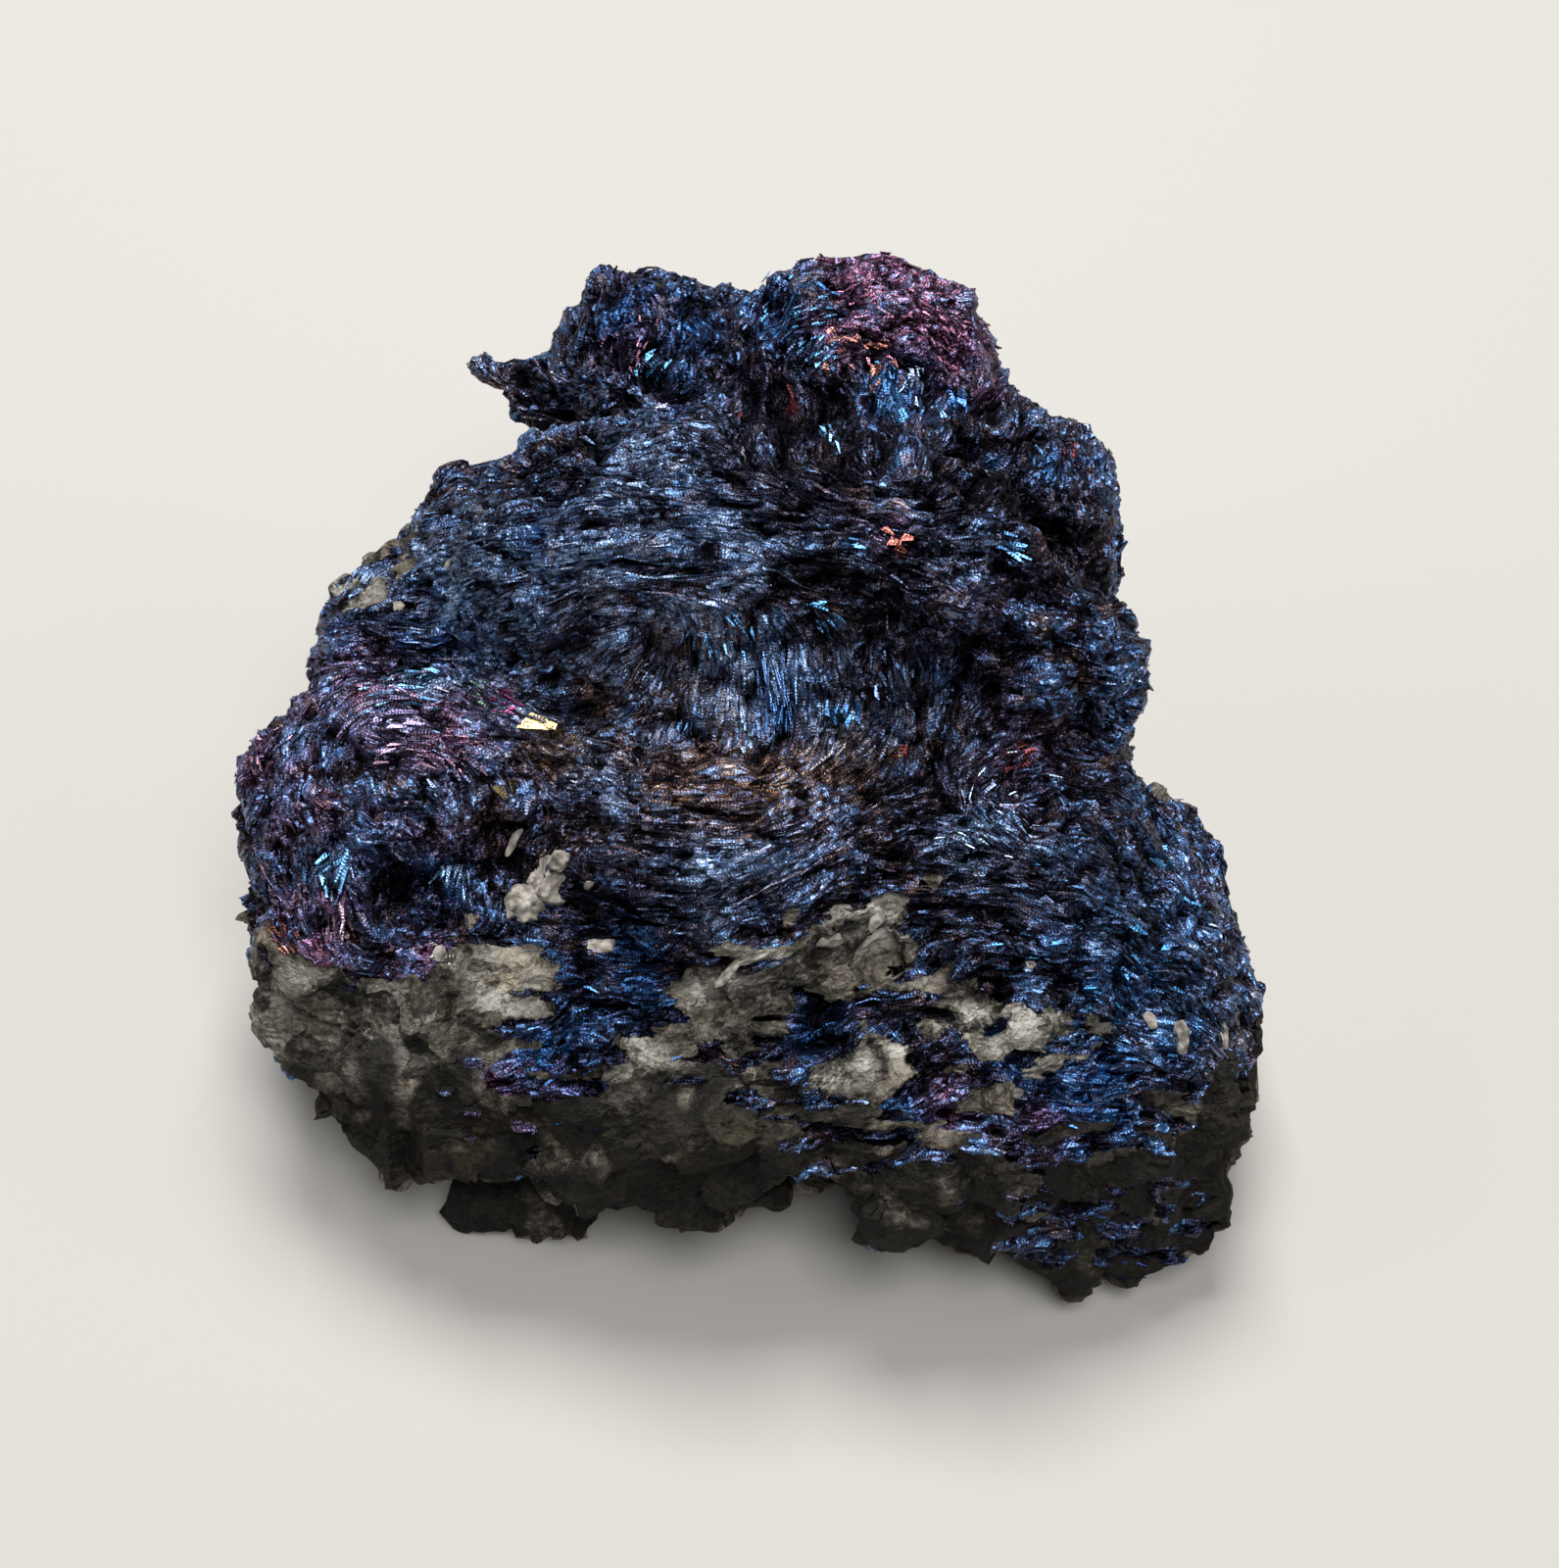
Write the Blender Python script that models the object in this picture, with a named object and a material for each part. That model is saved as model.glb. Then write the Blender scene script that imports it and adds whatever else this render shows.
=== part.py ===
"""A covellite specimen: one natural lump of foliated covellite grown with its grey sulphide matrix.

Rounded masses of covellite leaves are softened into each other and joined with angular blocks of
matrix. Hollows and clefts are cut out of them, the leaves get their ropy ridges and the matrix its
facets, and the underside is cut flat where the lump rests.
"""

import math

import bmesh
import bpy
import numpy as np
from mathutils import Euler, Matrix, Vector, noise

MM = 0.001
NAME = "covellite_specimen"

# How fine the body is: the side of a melted cell in mm, and the triangles that the solid keeps
CELL = 0.8
TRIANGLES = 9400

# Passes of softening: for the covellite masses alone, and for the whole body once it is cut
MASS_SOFTENING = 24
BODY_SOFTENING = 2
SOFTENING_SHARE = 0.6

# The grain of the covellite leaves in mm: how wide its ridges are, how far they run on and how high they
# are, and the size of the swirls that the leaves make and how far those carry them
RIDGE_WIDTH = 2.3
RIDGE_RUN = 9.0
RIDGE_RISE = 0.75
SWIRL = 16.0
SWIRL_SHIFT = 6.0
SWIRL_SEED = 5

# The two ways that the leaves are stacked: bands that dip towards the back, and bands that stand across it
LEAF_POLES = ((0.12, 0.5, 0.86), (0.35, 0.9, -0.25))

# Knots where the leaves bunch up, in mm
KNOT = 5.0
KNOT_RISE = 0.6

# The broken face of the matrix: its facets, how steeply they lean, how wide the turn between them is and
# how many random tilts there are to a facet's width, and its crumbs, in mm
FACET = 7.0
FACET_LEAN = 0.3
FACET_MERGE = 0.4
TILT_CELLS = 31.0
CRUMB = 2.2
CRUMB_RISE = 0.28

# Where covellite gives way to matrix, in mm: its height at the front and at the back, and how it wanders
MATRIX_TOP_FRONT = 19.5
MATRIX_TOP_BACK = 13.0
MATRIX_FRONT = -22.0
MATRIX_BACK = -8.0
MATRIX_WANDER = 5.0
MATRIX_PATCH = 9.0
MATRIX_MERGE = 1.5

# Rounded masses of covellite leaves, in mm: centre, half sizes, and turns about X, Y and Z in degrees
LUMPS = {
    "upper_right_lobe": ((3.4, 20, 33.5), (9.6, 8.5, 9.0), (0, 0, 0)),
    "upper_left_lobe": ((-11.2, 21.5, 32.2), (7.6, 6.5, 7.6), (0, 0, 0)),
    "lobe_neck": ((-4, 17, 30), (8, 7, 8), (0, 0, 0)),
    "shoulder_left": ((-21, 10.7, 23.5), (8, 8, 7.5), (0, -20, 0)),
    "shoulder_edge": ((-27, 4.5, 19.5), (7.6, 7.5, 7.5), (0, 0, 0)),
    "shoulder_middle": ((-11, 3.5, 31.5), (13, 9.5, 9.5), (0, -12, 0)),
    "shoulder_right": ((4, 4, 33), (14, 9.5, 8.8), (0, 6, 0)),
    "right_upper": ((13.7, 11, 29.5), (7.8, 9, 8.3), (0, 0, 0)),
    "right_pillar": ((15.2, 0.5, 25), (7.8, 7.5, 9.5), (0, 0, 0)),
    "left_knob": ((-27.8, -8.5, 18.5), (10, 9, 9.4), (0, 0, 0)),
    "left_knob_foot": ((-28.5, -15, 14), (8.4, 8, 8), (0, 0, 0)),
    "saddle": ((-17, -6, 18), (9, 9, 9.5), (0, 0, 0)),
    "valley_foot": ((-16, -17, 16.5), (5.5, 5, 6.5), (0, 0, 0)),
    "boss": ((-4, -12, 19.5), (12, 11, 10.5), (0, 0, 0)),
    "right_slope": ((13, -9, 17.5), (12, 12, 10.5), (0, 0, 0)),
    "right_slope_foot": ((21, -14, 13), (10, 9.5, 8), (0, 0, 0)),
    "flank_back": ((24.8, -1.8, 7.5), (5.6, 6, 6.5), (0, 0, 0)),
    "flank_middle": ((28.5, -9.5, 8), (5.4, 7, 6), (0, 0, 0)),
    "core": ((-3, 6, 19), (21, 17, 18.5), (0, 0, 0)),
}

# Angular blocks, in mm: the corners of each. All but the horn are matrix
BLOCKS = {
    "base": [
        (-30, -16, 2), (-26, 12, 3), (-12, 24, 4), (13, 23, 3), (21, 8, 2), (29, -14, 3), (-32, -12, 14),
        (-25, 13, 17), (-10, 27, 24), (13, 26, 22), (20, 8, 14), (31, -11, 11), (24, -26, 6),
        (-16, -25, 2.5), (14, -23, 3), (16, 14, 2.5), (-14, 16, 2.5), (-20, -10, 2.5),
        (-9, -13, -0.3), (8, -14, -0.3), (9, 7, -0.3), (-8, 8, -0.3),
    ],
    "back": [
        (-17, 22, 10), (-14, 27, 22), (-6, 28, 30), (6, 28, 31), (13, 26, 28), (19, 20, 20), (18, 20, 8),
        (-16, 20, 27), (17, 16, 30), (-12, 12, 30), (12, 10, 32), (0, 27, 6),
    ],
    "left_corner": [
        (-35.8, -21.7, 12), (-34.5, -15, 15), (-26, -17, 20), (-20, -20, 19), (-22.5, -28, 16.5),
        (-31, -26, 13), (-31.7, -25.5, 9), (-26, -30.5, 7.5), (-20, -31.5, 7.5), (-22, -20, 5), (-33, -18, 7),
    ],
    "front_ledge": [
        (-24, -28, 16.5), (-22, -19, 21), (-2, -20, 22), (10, -21, 21), (10, -29.5, 17), (-2, -32, 17),
        (-22, -32, 9), (-8, -32.5, 9), (6, -31.5, 8), (-20, -20, 4), (8, -20, 4),
    ],
    "foot": [
        (-22, -30.2, 0), (-17, -32, 0), (-11, -30.2, 1), (-22, -29.5, 4), (-10, -29.5, 6), (-22, -18, 0),
        (-8, -18, 0), (-20, -20, 6), (-8, -20, 6),
    ],
    "right_block": [
        (0, -31.5, 15), (2, -23, 21), (16, -20, 20.5), (27, -22, 17), (31, -24, 13), (18, -31.5, 16),
        (6, -33, 10), (20.7, -33, 3), (30, -31, 3), (31.5, -27, 5), (3, -30.5, 7), (12, -32.3, 5),
        (10, -20, 3), (28, -18, 4),
    ],
    "right_side": [
        (33, -13.5, 12), (33, -19.5, 9), (32.2, -24, 6), (31, -9, 13), (27, -12, 17), (28, -22, 14),
        (24, -12, 4), (26, -24, 4), (31, -12, 5),
    ],
    "horn": [
        (-26.2, 23.6, 30.6), (-25.6, 22.4, 30), (-25, 22.5, 28.4), (-18, 17.5, 30), (-16, 20, 25),
        (-17, 23, 32), (-20, 19.5, 25.5),
    ],
}

# Hollows and clefts between the masses, in mm, laid out as the lumps are
HOLLOWS = {
    "under_shoulder": ((-3, -9.5, 35), (12, 5.5, 6.5), (-20, 0, 0)),
    "knob_pit": ((-25, -17, 21.5), (2.0, 2.2, 5.0), (-30, 0, 0)),
    "valley": ((-15.3, -12, 28.5), (2.2, 8, 4), (28, 0, 0)),
    "right_cavity": ((16, 5, 36), (2.6, 2.2, 4.5), (-20, 0, 25)),
    "lobe_cleft": ((12, 10, 38.5), (6, 1.7, 4), (0, 0, 36)),
    "under_horn": ((-21.5, 15.5, 31), (4.5, 2.6, 4), (0, 0, 0)),
    "right_pit": ((14.5, -10.5, 28.0), (3.6, 1.3, 2.6), (-35, 0, 40)),
    "pillar_pit": ((18.5, -6, 29), (2.8, 1.8, 3.6), (-20, 0, 10)),
    "front_recess": ((2.5, -34, 8), (4.5, 5, 7), (0, 0, 0)),
}


def blend(low, high, value):
    """0 below low, 1 above high, and a smooth rise between them."""
    share = np.clip((value - low) / (high - low), 0.0, 1.0)
    return share * share * (3.0 - 2.0 * share)


def ellipsoid(mesh, centre, half, turn):
    """Adds one closed ellipsoid to a mesh."""
    added = bmesh.ops.create_icosphere(mesh, subdivisions=4, radius=1.0)
    turned = Euler([math.radians(angle) for angle in turn]).to_matrix().to_4x4()
    sized = Matrix.Diagonal((*(side * MM for side in half), 1.0))
    place = Matrix.Translation(Vector(centre) * MM) @ turned @ sized
    bmesh.ops.transform(mesh, matrix=place, verts=added["verts"])


def block(mesh, corners):
    """Adds the closed block that a set of corners spans."""
    points = [mesh.verts.new(Vector(corner) * MM) for corner in corners]
    hull = bmesh.ops.convex_hull(mesh, input=points)
    spare = [item for item in hull["geom_interior"] if isinstance(item, bmesh.types.BMVert)]
    bmesh.ops.delete(mesh, geom=spare, context="VERTS")


def shown(name, mesh):
    """Turns a bmesh into an object of the scene."""
    bmesh.ops.recalc_face_normals(mesh, faces=mesh.faces)
    data = bpy.data.meshes.new(name)
    mesh.to_mesh(data)
    mesh.free()
    made = bpy.data.objects.new(name, data)
    bpy.context.scene.collection.objects.link(made)
    return made


def melt(made):
    """Adds the modifier that melts overlapping pieces into one skin of even cells."""
    remesh = made.modifiers.new("melt", "REMESH")
    remesh.mode = "VOXEL"
    remesh.voxel_size = CELL * MM


def settle(made):
    """Turns an object's modifiers into its mesh."""
    bpy.context.view_layer.update()
    graph = bpy.context.evaluated_depsgraph_get()
    finished = bpy.data.meshes.new_from_object(made.evaluated_get(graph))
    made.modifiers.clear()
    made.data = finished


def points_of(made):
    """A mesh's points in mm."""
    flat = np.empty(len(made.data.vertices) * 3)
    made.data.vertices.foreach_get("co", flat)
    return flat.reshape(-1, 3) / MM


def normals_of(made):
    """Which way a mesh faces at each of its points."""
    flat = np.empty(len(made.data.vertices) * 3)
    made.data.vertices.foreach_get("normal", flat)
    return flat.reshape(-1, 3)


def put_points(made, points):
    """Moves a mesh's points to places in mm."""
    made.data.vertices.foreach_set("co", (points * MM).ravel())
    made.data.update()


def edges_of(made):
    """Both ends of each edge, each edge given in both directions."""
    flat = np.empty(len(made.data.edges) * 2, np.int32)
    made.data.edges.foreach_get("vertices", flat)
    ends = flat.reshape(-1, 2)
    return np.concatenate([ends, ends[:, ::-1]])


def averaged(points, ends):
    """The mean place of each point's neighbours."""
    count = len(points)
    neighbours = np.bincount(ends[:, 0], minlength=count)
    sums = [np.bincount(ends[:, 0], points[ends[:, 1], axis], count) for axis in range(3)]
    return np.stack(sums, axis=1) / neighbours[:, None]


def noise_at(points, size):
    """Smooth noise from about -1 to 1 at each point, with waves of one size in mm."""
    return np.array([noise.noise(Vector(point) / size) for point in points])


def soften(made, passes):
    """Lets the forms of an object flow into each other."""
    points = points_of(made)
    ends = edges_of(made)
    for _ in range(passes):
        points += (averaged(points, ends) - points) * SOFTENING_SHARE
    put_points(made, points)


def melted_masses(name, pieces):
    """One object of many ellipsoids, melted together."""
    mesh = bmesh.new()
    for centre, half, turn in pieces.values():
        ellipsoid(mesh, centre, half, turn)
    made = shown(name, mesh)
    melt(made)
    settle(made)
    return made


def carved(made, helper, operation):
    """Joins a helper object to the body, or cuts it out, and puts the helper out of sight."""
    helper.hide_render = True
    helper.display_type = "WIRE"
    change = made.modifiers.new(helper.name, "BOOLEAN")
    change.operation = operation
    change.object = helper


def with_blocks(made):
    """Joins the angular blocks to the softened masses."""
    for name, corners in BLOCKS.items():
        mesh = bmesh.new()
        block(mesh, corners)
        carved(made, shown(name, mesh), "UNION")


def hollow_out(made):
    """Cuts the hollows and clefts out of the body."""
    carved(made, melted_masses("hollows", HOLLOWS), "DIFFERENCE")


def stone_share(points):
    """How much of each point is matrix: 1 on bare matrix, 0 on covellite."""
    front = 1.0 - blend(MATRIX_FRONT, MATRIX_BACK, points[:, 1])
    top = MATRIX_TOP_BACK + (MATRIX_TOP_FRONT - MATRIX_TOP_BACK) * front
    height = points[:, 2] + noise_at(points, MATRIX_PATCH) * MATRIX_WANDER
    return 1.0 - blend(-MATRIX_MERGE, MATRIX_MERGE, height - top)


def leaf_rise(point):
    """How far the ropy leaves stand out at a point: knots, and noise drawn out along each way they are stacked."""
    carried = point + noise.noise_vector(point / SWIRL) * SWIRL_SHIFT
    rise = noise.noise(point / KNOT) * KNOT_RISE
    for way in LEAF_POLES:
        pole = Vector(way).normalized()
        up = carried.dot(pole)
        rise += noise.noise((carried - pole * up) / RIDGE_RUN + pole * (up / RIDGE_WIDTH)) * RIDGE_RISE
    return rise


def facet_rise(point):
    """How far a broken facet leans out at a point. Near its edge the next facets share in it."""
    distances, centres = noise.voronoi(point / FACET)
    total = 0.0
    shares = 0.0
    for distance, centre in zip(distances, centres):
        share = math.exp((distances[0] - distance) * FACET / FACET_MERGE)
        tilt = noise.cell_vector(centre * TILT_CELLS) * 2.0 - Vector((1, 1, 1))
        total += share * (point - centre * FACET).dot(tilt)
        shares += share
    return total / shares * FACET_LEAN


def stone_rise(point):
    """The leaning facets and crumbs of broken matrix."""
    return facet_rise(point) + noise.noise(point / CRUMB) * CRUMB_RISE


def roughen(made):
    """Gives the covellite its grain and the matrix its fracture."""
    points = points_of(made)
    stone = stone_share(points)
    leaves = np.array([leaf_rise(Vector(point)) for point in points])
    broken = np.array([stone_rise(Vector(point)) for point in points])
    rise = leaves * (1.0 - stone) + broken * stone
    put_points(made, points + normals_of(made) * rise[:, None])


def thin_out(made):
    """Lowers the number of triangles and keeps them where the form turns."""
    fewer = made.modifiers.new("fewer faces", "DECIMATE")
    fewer.ratio = TRIANGLES / (2.0 * len(made.data.polygons))
    settle(made)


def joined_to(first):
    """All points of the body that a point belongs to."""
    found = {first}
    reached = [first]
    while reached:
        for edge in reached.pop().link_edges:
            for vert in edge.verts:
                if vert not in found:
                    found.add(vert)
                    reached.append(vert)
    return found


def drop_chips(mesh):
    """Keeps the lump itself and deletes chips that the cut parted from it."""
    body = joined_to(max(mesh.verts, key=lambda vert: vert.co.z))
    chips = [vert for vert in mesh.verts if vert not in body]
    bmesh.ops.delete(mesh, geom=chips, context="VERTS")


def cut_underside(made):
    """Cuts the underside flat where the lump rests, and closes the cut."""
    mesh = bmesh.new()
    mesh.from_mesh(made.data)
    whole = mesh.verts[:] + mesh.edges[:] + mesh.faces[:]
    bmesh.ops.bisect_plane(mesh, geom=whole, plane_co=(0, 0, 0), plane_no=(0, 0, 1), clear_inner=True)
    bmesh.ops.holes_fill(mesh, edges=[edge for edge in mesh.edges if edge.is_boundary], sides=0)
    bmesh.ops.triangulate(mesh, faces=mesh.faces)
    drop_chips(mesh)
    bmesh.ops.recalc_face_normals(mesh, faces=mesh.faces)
    mesh.to_mesh(made.data)
    mesh.free()


def centre_on_base(made):
    """Puts the middle of the lump's underside box at the origin."""
    points = points_of(made)
    middle = (points.min(axis=0) + points.max(axis=0)) / 2.0
    middle[2] = 0.0
    put_points(made, points - middle)


def tarnished_covellite():
    """Dark indigo covellite with a dull metal gloss."""
    made = bpy.data.materials.new("covellite")
    made.use_nodes = True
    shader = made.node_tree.nodes["Principled BSDF"]
    shader.inputs["Base Color"].default_value = (0.035, 0.045, 0.085, 1.0)
    shader.inputs["Metallic"].default_value = 0.6
    shader.inputs["Roughness"].default_value = 0.4
    return made


def main():
    for old in list(bpy.data.objects):
        bpy.data.objects.remove(old)
    noise.seed_set(SWIRL_SEED)
    rock = melted_masses(NAME, LUMPS)
    soften(rock, MASS_SOFTENING)
    with_blocks(rock)
    hollow_out(rock)
    melt(rock)
    settle(rock)
    soften(rock, BODY_SOFTENING)
    roughen(rock)
    thin_out(rock)
    cut_underside(rock)
    centre_on_base(rock)
    rock.data.materials.append(tarnished_covellite())


main()
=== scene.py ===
"""The looks of a covellite specimen: ropes and leaves of tarnished covellite over a grey sulphide matrix.

A skin of fine cells takes over the lump's own form. The leaves' grain runs over it as the strokes below
say, and thousands of slim leaves and small plates stand on it along that grain.
"""

import math

import bpy
import numpy as np
from mathutils import Euler, Matrix, Vector, kdtree, noise


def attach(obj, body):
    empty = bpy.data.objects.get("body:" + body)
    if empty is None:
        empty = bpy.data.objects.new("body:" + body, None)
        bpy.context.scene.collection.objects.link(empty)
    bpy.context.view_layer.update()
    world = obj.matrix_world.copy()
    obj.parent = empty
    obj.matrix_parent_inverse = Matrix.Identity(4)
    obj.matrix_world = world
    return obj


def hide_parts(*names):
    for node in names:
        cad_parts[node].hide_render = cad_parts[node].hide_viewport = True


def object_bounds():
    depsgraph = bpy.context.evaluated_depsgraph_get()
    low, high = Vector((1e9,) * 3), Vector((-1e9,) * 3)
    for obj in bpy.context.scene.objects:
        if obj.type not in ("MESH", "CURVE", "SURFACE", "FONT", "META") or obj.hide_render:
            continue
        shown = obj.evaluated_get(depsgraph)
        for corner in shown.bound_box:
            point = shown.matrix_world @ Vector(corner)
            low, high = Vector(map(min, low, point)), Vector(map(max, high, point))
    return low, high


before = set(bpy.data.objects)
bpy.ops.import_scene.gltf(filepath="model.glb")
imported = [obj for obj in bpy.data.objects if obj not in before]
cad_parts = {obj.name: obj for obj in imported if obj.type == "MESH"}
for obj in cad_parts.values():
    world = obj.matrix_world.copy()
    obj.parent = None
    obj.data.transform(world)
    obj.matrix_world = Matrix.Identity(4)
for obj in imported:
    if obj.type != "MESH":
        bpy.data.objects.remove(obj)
cad_low, cad_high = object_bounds()

MM = 0.001
NODE = "covellite_specimen"
SEED = 20

# The camera: where it stands in mm, its tilt from straight down and its roll in degrees, and the focal
# length in pixels of a picture of this size
PICTURE = (1591, 1600)
FOCAL = 2560.6
CAMERA = (1.325, -105.242, 155.65)
CAMERA_TILT = 37.13
CAMERA_ROLL = 3.53

# The skin: the side of its cells in mm, how far apart in metres two points are that count as one, and the
# passes that soften it
SKIN_CELL = 0.432
MERGE = 0.00001
SKIN_SOFTENING = 7

# The shares of matrix over which the skin turns rocky, and how much of its sharpness it keeps there
ROCK_ZONE = (0.2, 0.8)
ROCK_SHARP = 0.85

# How squarely the skin has to face the camera, or away from it, to count wholly
FACING_EDGE = 0.15

# Ropes of leaves on the skin: how wide they are and how far they rise in mm, and the passes that draw
# them out along the grain, and how high a crest and how deep a groove is as a share of that rise
ROPES = {"broad": (2.4, 0.48, 21), "fine": (1.0, 0.29, 9)}
ROPE_CREST = 1.4
ROPE_GROOVE = 1.1

# How closely drawing out follows the grain, and how much it still spreads across it
GRAIN_FOLLOWS = 6
GRAIN_SPREAD = 0.02

# Knots in the ropes, in mm
KNOT_WIDTH = 2.7
KNOT_RISE = 0.4

# Broken facets: how wide they are in mm and how far they lean, on the matrix and on covellite, and how far
# in mm one may reach before it leans, so that none stands out as a fin
FACETS = {"large": (4.6, 0.34, 0.10), "small": (1.5, 0.17, 0.20)}
FACET_LIMIT = 1.9

# What scrambles the place of a facet into the way that it leans
FACET_SCRAMBLE = (127.1, 311.7, 74.7)
FACET_TWIST = 269.5

# The matrix, in mm: its lumps and grains
LUMP_WIDTH = 2.4
LUMP_RISE = 0.08
GRAIN_WIDTH = 0.8
GRAIN_RISE = 0.05

# The share of the ropes' rise that runs on over the matrix, and where it comes in, in pixels from the left
ROCK_ROPES = 0.3
ROCK_ROPES_FROM = (480, 880)

# How far a stroke's direction reaches and how far apart its steps are, in pixels, and how near the strokes
# are where they alone give the grain
STROKE_REACH = 30.0
STROKE_SPACING = 14.0
STROKE_SURE = 0.6

# How the grain wanders, broadly and in waves, in mm and degrees
WANDER_WIDTH = 2.6
WANDER_TURN = 38.0
WAVE_WIDTH = 0.9
WAVE_TURN = 26.0

# The way up for the leaves on the sides that the strokes don't reach
LEAF_POLE = (0.12, 0.5, 0.86)

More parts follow.
